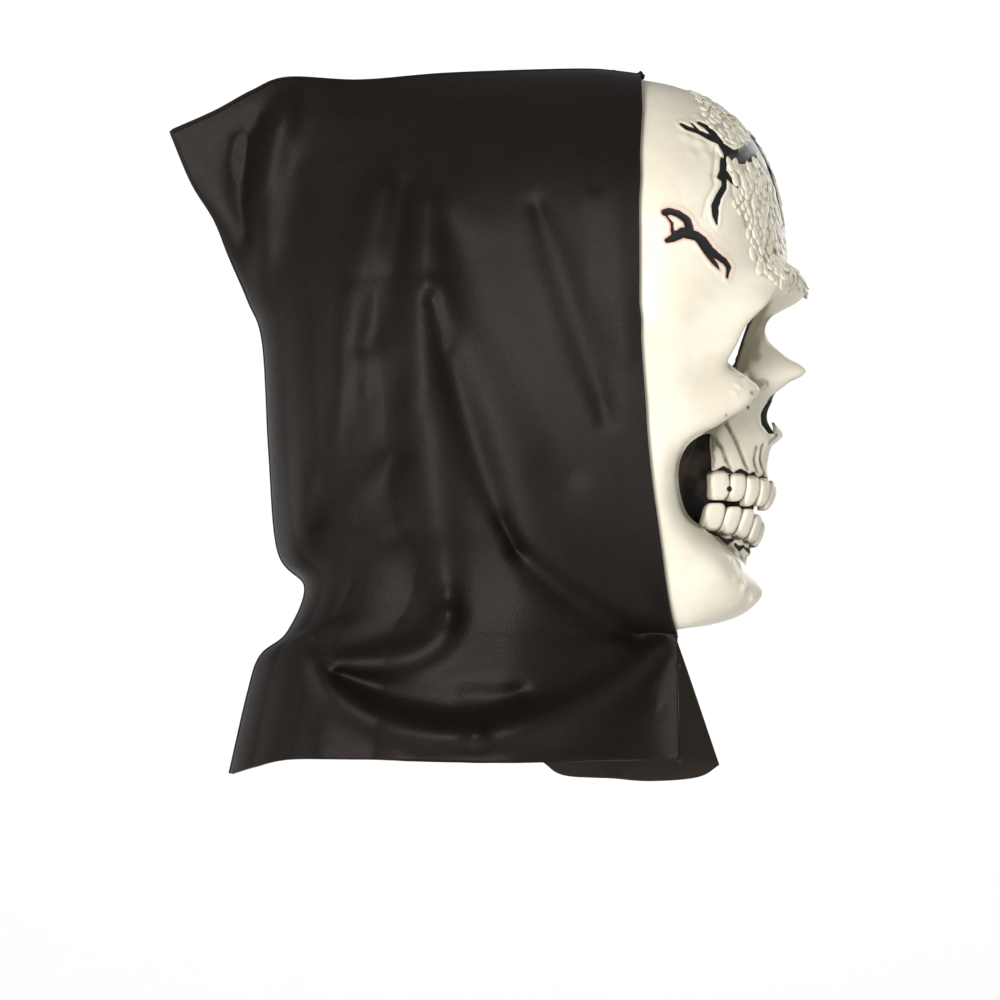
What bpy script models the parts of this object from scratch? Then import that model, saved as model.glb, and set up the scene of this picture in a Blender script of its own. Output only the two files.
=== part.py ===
# A skull face mask with a black cloth hood sewn to its rim.
# Metres, +Z up. The face looks along -Y and the wearer's right side is at -X.
# The origin is where the inside of the hood's crown rests on the head.

import math

import bmesh
import bpy
import numpy as np

for old in list(bpy.data.objects):
    bpy.data.objects.remove(old, do_unlink=True)

# Driving sizes of the moulded face
MASK_HEIGHT = 0.247  # top of the rim to the underside of the chin
MASK_WIDTH = 0.176  # across the temples, at the rim
MASK_DEPTH = 0.0745  # from the rim forward to the tip of the brow
MASK_WALL = 0.0022
BLEND = 0.004  # how softly the arch of teeth runs into the cheeks
RIM_FORWARD = 0.081  # the rim in front of the origin
FLANGE = 0.007  # the rim's strip under the cloth

# The two arches of teeth
ARCH_HALF_WIDTH = 0.036  # where the arch meets the cheek
ARCH_BACK = 0.034  # how far the arch runs back from its front tooth to there
TOOTH_WIDTH = 0.0092
TOOTH_HEIGHT = 0.0135
TOOTH_THICKNESS = 0.0050
TOOTH_PROUD = 0.0038  # how far a tooth stands out from the arch
TOOTH_EDGE = 0.0014  # the bevel round a tooth
MOUTH_GAP = 0.0055  # between the front teeth

# Eye sockets
SOCKET_ACROSS = 0.0375  # middle line to the socket's middle
SOCKET_DOWN = 0.1165
SOCKET_WIDTH = 0.054
SOCKET_HEIGHT = 0.044
SOCKET_DEPTH = 0.0045
SOCKET_LEAN = math.radians(9)

# Openings
EYE_WIDTH = 0.037
EYE_HEIGHT = 0.031
NOSE_WIDTH = 0.026
NOSE_HEIGHT = 0.027
CHEEK_LENGTH = 0.0165  # of the cheek opening, seen from the side
CHEEK_HEIGHT = 0.040

# The net behind the nose and the mouth
NET = 0.0010
NET_GAP = 0.0011  # clear of the wall that it is glued to

# Driving sizes of the hood
HOOD_HEIGHT = 0.306  # crown to hem
HOOD_BACK = 0.1300  # from the origin back to the point of the top corner
HOOD_WIDTH = 0.168  # across the head
CLOTH = 0.0015
SEAM_GAP = 0.0003  # between the two panels
RIM_GAP = 0.0009  # between the cloth and the rim that it is sewn to
HEM_WIDTH = 0.190  # across the hem, over the shoulders
NECK_OPENING = 0.076  # between the panels' front corners at the hem
CHIN_SHARE = 0.835  # of the front edge, sewn to the rim; the rest hangs free

HALF = MASK_WIDTH / 2

# One row for each level of the face, from the top of the rim to the underside of the chin.
# centre and side are drops as shares of MASK_HEIGHT, on the middle line and at the rim.
# width is a share of half MASK_WIDTH. depth and rim are shares of MASK_DEPTH, forward of
# RIM_FORWARD, on the middle line and at the rim. boxy is the section's power.
LEVEL_COLUMNS = ("centre", "side", "width", "depth", "rim", "boxy")
FACE_LEVELS = (
    ("rim top", 0.000, 0.070, 0.560, 0.00, 0.00, 2.0),
    ("crown", 0.012, 0.105, 0.680, 0.20, -0.01, 2.0),
    ("upper forehead", 0.038, 0.150, 0.800, 0.42, -0.02, 2.0),
    ("forehead step", 0.085, 0.195, 0.885, 0.62, -0.02, 2.0),
    ("forehead", 0.140, 0.240, 0.940, 0.75, -0.03, 2.0),
    ("forehead middle", 0.205, 0.290, 0.975, 0.83, -0.03, 2.0),
    ("lower forehead", 0.275, 0.340, 0.995, 0.87, -0.03, 2.0),
    ("above the brow", 0.340, 0.385, 1.000, 0.88, -0.03, 2.0),
    ("brow", 0.385, 0.415, 0.995, 0.86, -0.03, 2.0),
    ("upper eye", 0.420, 0.445, 0.985, 0.80, -0.02, 2.0),
    ("eye", 0.465, 0.480, 0.970, 0.74, -0.02, 2.0),
    ("lower eye", 0.510, 0.520, 0.955, 0.69, -0.01, 2.0),
    ("nose tip", 0.550, 0.556, 0.940, 0.66, 0.00, 2.0),
    ("cheekbone", 0.590, 0.595, 0.920, 0.61, 0.01, 2.0),
    ("under the nose", 0.640, 0.642, 0.890, 0.50, 0.02, 2.0),
    ("upper gum", 0.700, 0.700, 0.845, 0.38, 0.04, 2.0),
    ("upper teeth", 0.750, 0.750, 0.800, 0.34, 0.06, 2.0),
    ("mouth", 0.790, 0.790, 0.760, 0.36, 0.08, 2.0),
    ("lower teeth", 0.830, 0.830, 0.710, 0.47, 0.10, 2.1),
    ("lower gum", 0.870, 0.870, 0.650, 0.60, 0.12, 2.3),
    ("chin", 0.915, 0.910, 0.575, 0.68, 0.14, 2.5),
    ("chin front", 0.950, 0.945, 0.500, 0.68, 0.16, 2.6),
    ("chin edge", 0.975, 0.972, 0.430, 0.60, 0.18, 2.5),
    ("under the chin", 0.992, 0.990, 0.370, 0.43, 0.20, 2.3),
    ("rim bottom", 1.000, 1.000, 0.320, 0.215, 0.215, 2.0),
)

# Rounded forms on the face, each a soft mound or hollow. across and down place its middle,
# as shares of half MASK_WIDTH and of MASK_HEIGHT. wide and tall are its reach in the same
# shares. rise is its height, a share of MASK_DEPTH. turn leans it, in degrees, and crisp is
# the power of its edge.
FORM_COLUMNS = ("across", "down", "wide", "tall", "rise", "turn", "crisp")
FACE_FORMS = (
    ("glabella", 0.00, 0.397, 0.24, 0.030, 0.130, 0, 2.6),
    ("brow arch", 0.36, 0.366, 0.28, 0.026, 0.125, 3, 2.4),
    ("brow tail", 0.66, 0.402, 0.15, 0.028, 0.130, -38, 2.2),
    ("outer eye rim", 0.74, 0.470, 0.080, 0.060, 0.110, 6, 2.2),
    ("cheekbone", 0.62, 0.575, 0.17, 0.040, 0.190, -30, 2.2),
    ("cheekbone end", 0.76, 0.625, 0.10, 0.050, 0.110, 30, 2.0),
    ("lower eye rim", 0.40, 0.560, 0.14, 0.020, 0.040, -6, 2.0),
    ("temple", 0.93, 0.480, 0.12, 0.070, -0.030, 0, 2.0),
    ("beside the nose", 0.40, 0.630, 0.09, 0.045, -0.070, -28, 2.0),
    ("nasal spine", 0.00, 0.644, 0.080, 0.018, 0.030, 0, 2.0),
    ("chin boss", 0.00, 0.935, 0.30, 0.034, 0.020, 0, 2.6),
    ("chin knob", 0.17, 0.930, 0.10, 0.026, 0.035, 0, 2.0),
)

# The nose: how far its ridge stands out from the face and how wide it is, down the middle.
# rise is a share of MASK_DEPTH and wide a share of half MASK_WIDTH.
NOSE_COLUMNS = ("down", "rise", "wide")
NOSE_LEVELS = (
    ("above the root", 0.400, 0.00, 0.10),
    ("root", 0.435, -0.02, 0.10),
    ("bridge", 0.470, 0.035, 0.10),
    ("nose bones", 0.505, 0.190, 0.115),
    ("tip", 0.530, 0.330, 0.135),
    ("under the tip", 0.552, 0.285, 0.165),
    ("sides of the hole", 0.590, 0.190, 0.205),
    ("lower sides", 0.612, 0.110, 0.215),
    ("foot of the hole", 0.632, 0.085, 0.215),
    ("spine", 0.650, 0.070, 0.22),
    ("under the nose", 0.668, 0.020, 0.22),
    ("lip", 0.700, 0.00, 0.22),
)

# The arch of teeth, by drop: how far forward its middle stands, a share of MASK_DEPTH, and its
# spread, a share of ARCH_HALF_WIDTH.
ARCH_COLUMNS = ("down", "front", "wide")
ARCH_LEVELS = (
    ("eyes", 0.480, -0.50, 1.7),
    ("lower eye rim", 0.535, 0.44, 1.6),
    ("inside the cheeks", 0.580, 0.62, 1.35),
    ("above the roots", 0.622, 0.72, 1.15),
    ("under the nose", 0.660, 0.765, 1.03),
    ("upper roots", 0.700, 0.770, 1.0),
    ("upper teeth", 0.750, 0.765, 1.0),
    ("mouth", 0.790, 0.725, 1.0),
    ("lower teeth", 0.835, 0.680, 1.0),
    ("lower roots", 0.875, 0.640, 1.08),
    ("above the chin", 0.915, 0.600, 1.15),
    ("inside the chin", 0.955, 0.400, 1.2),
    ("under the chin", 0.990, -0.50, 1.2),
)

# The teeth of one side from the middle back: each one's width as a share of TOOTH_WIDTH, its
# height as a share of TOOTH_HEIGHT, and how far its tip is drawn in.
TOOTH_COLUMNS = ("width", "height", "taper")
UPPER_TEETH = (
    ("front tooth", 1.02, 1.00, 0.05),
    ("second tooth", 0.88, 0.94, 0.10),
    ("eye tooth", 0.92, 1.02, 0.22),
    ("small molar", 0.98, 0.94, 0.08),
    ("molar", 1.16, 0.98, 0.05),
)
LOWER_TEETH = (
    ("front tooth", 0.82, 0.88, 0.06),
    ("second tooth", 0.86, 0.94, 0.08),
    ("eye tooth", 0.94, 1.02, 0.20),
    ("small molar", 1.02, 0.96, 0.06),
    ("molar", 1.20, 0.94, 0.04),
)


def table(rows, columns):
    """The rows' numbers as arrays named by column."""
    return {
        name: np.array([row[index + 1] for row in rows])
        for index, name in enumerate(columns)
    }


def smooth(values, place):
    """A smooth curve through evenly numbered values, read at fractional places."""
    values = np.asarray(values, float)
    place = np.clip(place, 0, len(values) - 1)
    before = np.minimum(place.astype(int), len(values) - 2)
    t = place - before
    padded = np.concatenate([[2 * values[0] - values[1]], values, [2 * values[-1] - values[-2]]])
    a, b, c, d = (padded[before + move] for move in range(4))
    return b + 0.5 * t * (c - a + t * (2 * a - 5 * b + 4 * c - d + t * (3 * (b - c) + d - a)))


def along(levels, column, down):
    """A column of a table that has a down column, read smoothly at any drop."""
    place = np.interp(down, levels["down"], np.arange(len(levels["down"])))
    return smooth(levels[column], place)


def step(low, high, value):
    """0 below low, 1 above high, and a soft rise between them."""
    t = np.clip((value - low) / (high - low), 0, 1)
    return t * t * (3 - 2 * t)


def soft_max(a, b, radius):
    """The greater of two heights, blended where they lie within a radius of each other."""
    blend = np.clip(0.5 + 0.5 * (a - b) / radius, 0, 1)
    return b + (a - b) * blend + radius * blend * (1 - blend)


LEVELS = table(FACE_LEVELS, LEVEL_COLUMNS)
FORMS = table(FACE_FORMS, FORM_COLUMNS)
NOSE = table(NOSE_LEVELS, NOSE_COLUMNS)
ARCH = table(ARCH_LEVELS, ARCH_COLUMNS)


def arch_forward(x, down):
    """The arch of teeth, forward of RIM_FORWARD, at a distance x from the middle."""
    half = ARCH_HALF_WIDTH * along(ARCH, "wide", down)
    return MASK_DEPTH * along(ARCH, "front", down) - ARCH_BACK * (x / half) ** 2


def relief(x, down):
    """The bony forms of the face: how far each point stands out from the plain shell."""
    forward = np.zeros_like(x)
    for index in range(len(FACE_FORMS)):
        turn = math.radians(FORMS["turn"][index])
        dx = x - FORMS["across"][index] * HALF
        dz = (FORMS["down"][index] - down) * MASK_HEIGHT
        lengthways = dx * math.cos(turn) + dz * math.sin(turn)
        over = dz * math.cos(turn) - dx * math.sin(turn)
        wide = FORMS["wide"][index] * HALF
        tall = FORMS["tall"][index] * MASK_HEIGHT
        radius = np.hypot(lengthways / wide, over / tall)
        forward += FORMS["rise"][index] * MASK_DEPTH * np.exp(-(radius ** FORMS["crisp"][index]))
    nose = np.exp(-((x / (along(NOSE, "wide", down) * HALF)) ** 2.4))
    forward += along(NOSE, "rise", down) * MASK_DEPTH * nose
    return forward


def socket_radius(x, down):
    """1 on the edge of an eye socket, less inside it."""
    dx = (x - SOCKET_ACROSS) * math.cos(SOCKET_LEAN)
    dz = (SOCKET_DOWN - down * MASK_HEIGHT) * math.cos(SOCKET_LEAN)
    dx, dz = (
        dx - (SOCKET_DOWN - down * MASK_HEIGHT) * math.sin(SOCKET_LEAN),
        dz + (x - SOCKET_ACROSS) * math.sin(SOCKET_LEAN),
    )
    sides = np.abs(2 * dx / SOCKET_WIDTH) ** 2.7 + np.abs(2 * dz / SOCKET_HEIGHT) ** 2.7
    return sides ** (1 / 2.7)


def face_point(across, level):
    """The shell's surface. across runs from -1 at one rim to 1 at the other, and level from
    0 at the top of the rim to 1 at its bottom."""
    place = level * (len(FACE_LEVELS) - 1)
    value = {name: smooth(LEVELS[name], place) for name in LEVEL_COLUMNS}
    angle = np.abs(across) * math.pi / 2
    power = 2 / value["boxy"]
    reach = np.sin(angle) ** power
    x = HALF * value["width"] * reach
    down = value["centre"] + (value["side"] - value["centre"]) * reach**2.2
    rim = value["rim"] * MASK_DEPTH
    forward = rim + (value["depth"] * MASK_DEPTH - rim) * np.clip(np.cos(angle), 0, 1) ** power
    held = 1 - step(0.90, 1.0, np.abs(across))
    forward = soft_max(forward, arch_forward(x, down), BLEND) + relief(x, down) * held
    forward -= SOCKET_DEPTH * (1 - step(0.72, 1.10, socket_radius(x, down)))
    return np.stack(
        [np.sign(across) * x, -(RIM_FORWARD + forward), -down * MASK_HEIGHT], axis=-1
    )


def offset(surface, across, level, distance, first=-1):
    """A surface moved along its outward normal, which is read a little inside its edges. Its
    first parameter runs from first to 1 and its second from 0 to 1."""
    small = 1e-3
    near_across, near_level = np.clip(across, first + 0.015, 0.985), np.clip(level, 0.012, 0.988)
    up = surface(near_across, near_level - small)
    low = surface(near_across, near_level + small)
    left = surface(near_across - small, near_level)
    right = surface(near_across + small, near_level)
    normal = np.cross(low - up, right - left)
    normal /= np.linalg.norm(normal, axis=-1, keepdims=True)
    return surface(across, level) + distance * normal


def with_flange(points):
    """A face grid with one more ring of points, straight back from its rim."""
    wide = np.pad(points, ((1, 1), (1, 1), (0, 0)), mode="edge")
    ring = np.ones(wide.shape[:2], bool)
    ring[1:-1, 1:-1] = False
    wide[ring] += (0, FLANGE, 0)
    return wide


def shell(name, outer, inner, material):
    """A closed wall between two grids of points with the same rows and columns."""
    mesh = bpy.data.meshes.new(name)
    model = bmesh.new()
    rows, columns = outer.shape[:2]
    sheets = [
        [[model.verts.new(point) for point in row] for row in grid] for grid in (outer, inner)
    ]
    for r in range(rows - 1):
        for c in range(columns - 1):
            front, back = sheets
            model.faces.new((front[r][c], front[r][c + 1], front[r + 1][c + 1], front[r + 1][c]))
            model.faces.new((back[r][c], back[r + 1][c], back[r + 1][c + 1], back[r][c + 1]))
    loop = [(0, c) for c in range(columns)]
    loop += [(r, columns - 1) for r in range(1, rows)]
    loop += [(rows - 1, c) for c in range(columns - 2, -1, -1)]
    loop += [(r, 0) for r in range(rows - 2, 0, -1)]
    for here, there in zip(loop, loop[1:] + loop[:1]):
        a, b = (sheets[0][r][c] for r, c in (here, there))
        d, e = (sheets[1][r][c] for r, c in (here, there))
        model.faces.new((b, a, d, e))
    bmesh.ops.remove_doubles(model, verts=model.verts, dist=1e-5)
    bmesh.ops.dissolve_degenerate(model, edges=model.edges, dist=1e-6)
    model.normal_update()
    bmesh.ops.recalc_face_normals(model, faces=model.faces)
    model.to_mesh(mesh)
    model.free()
    made = bpy.data.objects.new(name, mesh)
    bpy.context.collection.objects.link(made)
    made.data.materials.append(material)
    return made


def finish(name, colour, roughness, metallic=0.0):
    material = bpy.data.materials.new(name)
    material.use_nodes = True
    shader = material.node_tree.nodes["Principled BSDF"]
    shader.inputs["Base Color"].default_value = (*colour, 1)
    shader.inputs["Roughness"].default_value = roughness
    shader.inputs["Metallic"].default_value = metallic
    return material


def guide(name, model):
    """A hidden shape that a Boolean adds or takes away."""
    mesh = bpy.data.meshes.new(name)
    model.normal_update()
    bmesh.ops.recalc_face_normals(model, faces=model.faces)
    model.to_mesh(mesh)
    model.free()
    made = bpy.data.objects.new(name, mesh)
    bpy.context.collection.objects.link(made)
    made.hide_render = True
    made.display_type = "WIRE"
    return made


def prism(name, outline, place, run):
    """A cutter: an outline of pairs, each turned into a point by place, extruded along run."""
    model = bmesh.new()
    ring = [model.verts.new(place(*pair)) for pair in outline]
    face = model.faces.new(ring)
    moved = bmesh.ops.extrude_face_region(model, geom=[face])["geom"]
    corners = [item for item in moved if isinstance(item, bmesh.types.BMVert)]
    bmesh.ops.translate(model, verts=corners, vec=run)
    return guide(name, model)


def boolean(target, other, operation):
    modifier = target.modifiers.new(other.name, "BOOLEAN")
    modifier.operation = operation
    modifier.object = other
    modifier.solver = "EXACT"


def rounded(width, height, power, count):
    """A rounded outline about the origin, from a circle at power 2 to a box at high powers."""
    angles = np.arange(count) * 2 * math.pi / count
    cosine, sine = np.cos(angles), np.sin(angles)
    return np.stack(
        [
            width / 2 * np.sign(cosine) * np.abs(cosine) ** (2 / power),
            height / 2 * np.sign(sine) * np.abs(sine) ** (2 / power),
        ],
        axis=-1,
    )


ivory = finish("ivory_plastic", (0.83, 0.79, 0.68), 0.45)

# The face: the shell is shaped finely and then thinned to the faces that its form needs
FINE_ROWS, FINE_COLUMNS = 130, 120
across, level = np.meshgrid(np.linspace(-1, 1, FINE_COLUMNS), np.linspace(0, 1, FINE_ROWS))
outside = with_flange(face_point(across, level))
inside = with_flange(offset(face_point, across, level, -MASK_WALL))
face = shell("face_mask", outside, inside, ivory)
thin = face.modifiers.new("fewer faces", "DECIMATE")
thin.ratio = 0.055


def arch_spots(teeth, down):
    """Where the teeth of one side stand: middle, direction along the arch, and width."""
    x = np.linspace(0, 1.4 * ARCH_HALF_WIDTH, 300)
    forward = arch_forward(x, np.full_like(x, down))
    length = np.concatenate([[0], np.cumsum(np.hypot(np.diff(x), np.diff(forward)))])
    widths = teeth["width"] * TOOTH_WIDTH
    middles = np.cumsum(widths) - widths / 2
    spots = []
    for middle, width in zip(middles, widths):
        here = np.array([np.interp(middle, length, x), np.interp(middle, length, forward)])
        ahead = np.array(
            [np.interp(middle + 0.001, length, x), np.interp(middle + 0.001, length, forward)]
        )
        spots.append((here, (ahead - here) / np.linalg.norm(ahead - here), width))
    return spots


def teeth_blocks(name, rows, gum, upwards):
    """One arch of teeth, each a rounded block that stands half in the wall. gum gives the
    drop of its gum line at the front and at the back."""
    teeth = table(rows, TOOTH_COLUMNS)
    model = bmesh.new()
    for index, (spot, tangent, width) in enumerate(arch_spots(teeth, sum(gum) / 2)):
        height = teeth["height"][index] * TOOTH_HEIGHT
        root = gum[0] + (gum[1] - gum[0]) * index / (len(rows) - 1)
        for side in (-1, 1):
            block = bmesh.ops.create_cube(model, size=1.0)["verts"]
            edges = list({edge for vertex in block for edge in vertex.link_edges})
            for vertex in block:
                low = vertex.co.z * upwards > 0
                narrow = 1 - teeth["taper"][index] * low
                behind = 1 - 0.30 * (vertex.co.y < 0)
                a = -side * vertex.co.x * (width - SEAM_GAP) * narrow * behind
                b = TOOTH_PROUD + (vertex.co.y - 0.5) * TOOTH_THICKNESS
                x = spot[0] + a * tangent[0] - b * tangent[1]
                z = -root * MASK_HEIGHT + upwards * (vertex.co.z * upwards + 0.5) * height
                leaning = arch_forward(spot[0], -z / MASK_HEIGHT)
                forward = leaning + a * tangent[1] + b * tangent[0]
                vertex.co = (side * x, -(RIM_FORWARD + forward), z)
            model.normal_update()
            bmesh.ops.bevel(
                model, geom=edges, offset=TOOTH_EDGE, segments=1, affect="EDGES", profile=0.5
            )
    return guide(name, model)


upper = teeth_blocks("upper teeth", UPPER_TEETH, (0.716, 0.703), -1)
lower = teeth_blocks("lower teeth", LOWER_TEETH, (0.852, 0.822), 1)
boolean(face, upper, "UNION")
boolean(face, lower, "UNION")


# The openings. Each outline is a share of its named width and height.
EYE_PLACE = (SOCKET_ACROSS - 0.001, SOCKET_DOWN)
NOSE_TOP = 0.1325
NOSE_OUTLINE = (
    ("peak", 0.00, 0.00),
    ("upper side", 0.42, 0.13),
    ("middle", 0.72, 0.38),
    ("lower side", 0.96, 0.66),
    ("widest", 1.00, 0.84),
    ("lobe", 0.78, 0.99),
    ("foot", 0.42, 1.00),
    ("spine", 0.00, 0.80),
)
CHEEK_FRONT = 0.0320  # forward edge of the cheek opening, from RIM_FORWARD
CHEEK_TOP = 0.1600
CHEEK_OUTLINE = (
    ("top corner", 0.06, 0.00),
    ("front", 0.00, 0.22),
    ("middle", 0.06, 0.55),
    ("front foot", 0.10, 0.86),
    ("foot", 0.26, 0.99),
    ("underside", 0.50, 0.97),
    ("back foot", 0.78, 0.84),
    ("back", 0.97, 0.58),
    ("upper back", 0.97, 0.34),
    ("shoulder", 0.78, 0.14),
    ("top", 0.42, 0.02),
)
MOUTH_TOP = 0.1905
THROUGH = 0.12  # long enough to pass right through the wall
AHEAD = 0.02  # a cutter starts this far in front of the brow


def front_place(x, z):
    """A point of an outline drawn on the face as seen from the front."""
    return (x, -(RIM_FORWARD + MASK_DEPTH + AHEAD), z)


for side in (-1, 1):
    eye = rounded(EYE_WIDTH, EYE_HEIGHT, 2.5, 20)
    eye = [(side * (x + EYE_PLACE[0]), z - EYE_PLACE[1]) for x, z in eye]
    hole = prism("eye cutter", eye, front_place, (0, THROUGH, 0))
    boolean(face, hole, "DIFFERENCE")
    cheek = [
        (CHEEK_FRONT - back * CHEEK_LENGTH, -CHEEK_TOP - drop * CHEEK_HEIGHT)
        for _, back, drop in CHEEK_OUTLINE
    ]
    hole = prism(
        "cheek cutter",
        cheek,
        lambda forward, z: (side * 0.80 * ARCH_HALF_WIDTH, -(RIM_FORWARD + forward), z),
        (side * THROUGH, 0, 0),
    )
    boolean(face, hole, "DIFFERENCE")

nose_side = [(x * NOSE_WIDTH / 2, -NOSE_TOP - drop * NOSE_HEIGHT) for _, x, drop in NOSE_OUTLINE]
nose = nose_side + [(-x, z) for x, z in nose_side[-2:0:-1]]
boolean(face, prism("nose cutter", nose, front_place, (0, THROUGH * 0.7, 0)), "DIFFERENCE")

half = ARCH_HALF_WIDTH
mouth = [
    (-half, -MOUTH_TOP + 0.002),
    (0, -MOUTH_TOP),
    (half, -MOUTH_TOP + 0.002),
    (half, -MOUTH_TOP + 0.002 - MOUTH_GAP * 0.6),
    (0, -MOUTH_TOP - MOUTH_GAP),
    (-half, -MOUTH_TOP + 0.002 - MOUTH_GAP * 0.6),
]
boolean(face, prism("mouth cutter", mouth, front_place, (0, THROUGH * 0.6, 0)), "DIFFERENCE")


# The net: a sheet inside the face, from under the eyes to above the chin
net_across, net_level = np.meshgrid(np.linspace(-0.70, 0.70, 60), np.linspace(0.49, 0.81, 46))
near = offset(face_point, net_across, net_level, -(MASK_WALL + NET_GAP))
far = offset(face_point, net_across, net_level, -(MASK_WALL + NET_GAP + NET))
net = shell("net_backing", near, far, finish("black_net", (0.012, 0.011, 0.011), 0.9))
thin = net.modifiers.new("fewer faces", "DECIMATE")
thin.ratio = 0.07

# The hood. back and down place points of its outline seen from the side: back is a share of
# the length from the rim to the top corner, down a share of HOOD_HEIGHT.
EDGE_COLUMNS = ("back", "down")
TOP_EDGE = (
    ("behind the rim", 0.035, -0.010),
    ("over the forehead", 0.142, -0.013),
    ("crown", 0.410, -0.007),
    ("dip", 0.597, 0.003),
    ("back of the head", 0.751, -0.001),
    ("slope", 0.825, 0.018),
    ("to the corner", 0.905, 0.048),
    ("corner", 0.998, 0.0765),
)
BACK_EDGE = (
    ("corner", 0.998, 0.0765),
    ("under the corner", 0.953, 0.150),
    ("hollow", 0.905, 0.204),
    ("head", 0.872, 0.260),
    ("below the head", 0.832, 0.324),
    ("nape", 0.801, 0.386),
    ("straight", 0.787, 0.549),
    ("above the fold", 0.768, 0.693),
    ("fold", 0.711, 0.745),
    ("under the fold", 0.749, 0.814),
    ("shoulder", 0.806, 0.848),
    ("above the hem", 0.832, 0.900),
    ("rear corner", 0.872, 1.020),
)
RIGHT_HEM = (
    ("front corner", -0.079, 0.995),
    ("middle", 0.564, 0.990),
    ("towards the back", 0.738, 0.993),
    ("by the corner", 0.820, 1.007),
    ("rear corner", 0.872, 1.020),
)
LEFT_HEM = (
    ("front corner", -0.175, 1.012),
    ("by the corner", -0.130, 1.030),
    ("lowest", -0.030, 1.038),
    ("front", 0.060, 1.037),
    ("wave", 0.160, 1.033),
    ("behind the wave", 0.205, 1.014),
    ("middle", 0.270, 0.994),
    ("behind", 0.564, 0.985),
    ("towards the back", 0.738, 0.990),
    ("rear corner", 0.872, 1.020),
)
# How wide each panel stands, from the top seam to the hem: a share of half HOOD_WIDTH. full is
# the power that rounds its back, small at the flat corner and great round the head.
WIDTH_COLUMNS = ("down", "wide", "full")
WIDTH_LEVELS = (
    ("top seam", 0.00, 0.00, 1.5),
    ("crown", 0.08, 0.34, 1.6),
    ("over the head", 0.16, 0.60, 1.9),
    ("above the ears", 0.26, 0.84, 2.5),
    ("temples", 0.36, 0.96, 3.0),
    ("ears", 0.48, 1.00, 3.2),
    ("jaw", 0.62, 0.97, 3.0),
    ("neck", 0.76, 0.90, 2.6),
    ("shoulders", 0.88, 0.96, 2.4),
    ("hem", 1.00, 1.08, 2.4),
)
# Folds and creases: where each starts, bends and ends, in the outline's shares, and its reach
# to either side and its rise, as shares of HOOD_WIDTH. A crease has a negative rise.
FOLD_COLUMNS = ("back1", "down1", "back2", "down2", "back3", "down3", "reach", "rise")
RIGHT_FOLDS = (
    ("corner ridge", 0.745, 0.030, 0.800, 0.130, 0.815, 0.330, 0.050, 0.036),
    ("corner hollow", 0.850, 0.090, 0.850, 0.180, 0.845, 0.290, 0.042, -0.026),
    ("back ridge", 0.546, 0.170, 0.625, 0.476, 0.745, 0.690, 0.080, 0.038),
    ("main ridge", 0.456, 0.194, 0.475, 0.438, 0.407, 0.780, 0.075, 0.046),
    ("long crease", 0.441, 0.331, 0.375, 0.490, 0.265, 0.690, 0.036, -0.028),
    ("long crease end", 0.265, 0.690, 0.170, 0.765, 0.010, 0.820, 0.036, -0.028),
    ("front crease", 0.220, 0.200, 0.155, 0.330, 0.080, 0.500, 0.036, -0.022),
    ("crook", 0.407, 0.780, 0.405, 0.850, 0.640, 0.852, 0.044, 0.036),
    ("swag back", 0.685, 0.866, 0.600, 0.950, 0.350, 0.950, 0.050, 0.046),
    ("swag front", 0.350, 0.950, 0.110, 0.930, -0.040, 0.830, 0.050, 0.046),
    ("pocket", 0.620, 0.880, 0.480, 0.915, 0.270, 0.890, 0.050, -0.040),
)
LEFT_FOLDS = (
    ("corner ridge", 0.745, 0.030, 0.800, 0.130, 0.815, 0.330, 0.050, 0.034),
    ("corner hollow", 0.850, 0.090, 0.850, 0.180, 0.845, 0.290, 0.042, -0.026),
    ("back ridge", 0.600, 0.150, 0.640, 0.450, 0.730, 0.720, 0.080, 0.036),
    ("main ridge", 0.380, 0.200, 0.420, 0.500, 0.470, 0.820, 0.080, 0.040),
    ("front crease", 0.200, 0.260, 0.180, 0.500, 0.260, 0.740, 0.040, -0.026),
    ("swag", 0.660, 0.870, 0.360, 0.970, -0.010, 0.850, 0.060, 0.040),
    ("front wave", 0.060, 0.880, 0.050, 0.960, 0.040, 1.040, 0.040, 0.040),
    ("wave hollow", 0.150, 0.900, 0.150, 0.980, 0.150, 1.040, 0.040, -0.034),
    ("second wave", 0.230, 0.920, 0.235, 0.980, 0.235, 1.030, 0.036, 0.030),
)
WIDTHS = table(WIDTH_LEVELS, WIDTH_COLUMNS)
HOOD_LENGTH = RIM_FORWARD + HOOD_BACK


def edge(rows, key, share):
    """A point of an outline, by its share of the way along the named column."""
    columns = table(rows, EDGE_COLUMNS)
    wanted = columns[key][0] + share * (columns[key][-1] - columns[key][0])
    order = np.argsort(columns[key])
    place = np.interp(wanted, columns[key][order], np.arange(len(rows))[order])
    return smooth(columns["back"], place), smooth(columns["down"], place)


def rim_path(count=400):
    """The rim of one side, from the top centre to the corner of the chin, and its outward
    direction seen from the front."""
    along_top = np.linspace(0, 1, count // 4, endpoint=False)
    along_side = np.linspace(0, 1, count - count // 4)
    across = np.concatenate([along_top, np.ones_like(along_side)])
    level = np.concatenate([np.zeros_like(along_top), along_side])
    points = face_point(across, level)
    x, z = points[:, 0], points[:, 2]
    direction = np.stack([-np.gradient(z), np.gradient(x)], axis=-1)
    direction /= np.linalg.norm(direction, axis=-1, keepdims=True)
    direction[0] = (0, 1)
    out = np.stack([direction[:, 0], np.zeros(count), direction[:, 1]], axis=-1)
    moved = points + out * (RIM_GAP + CLOTH / 2)
    length = np.concatenate([[0], np.cumsum(np.linalg.norm(np.diff(moved, axis=0), axis=1))])
    return length / length[-1], moved


RIM_LENGTH, RIM_POINTS = rim_path()


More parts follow.
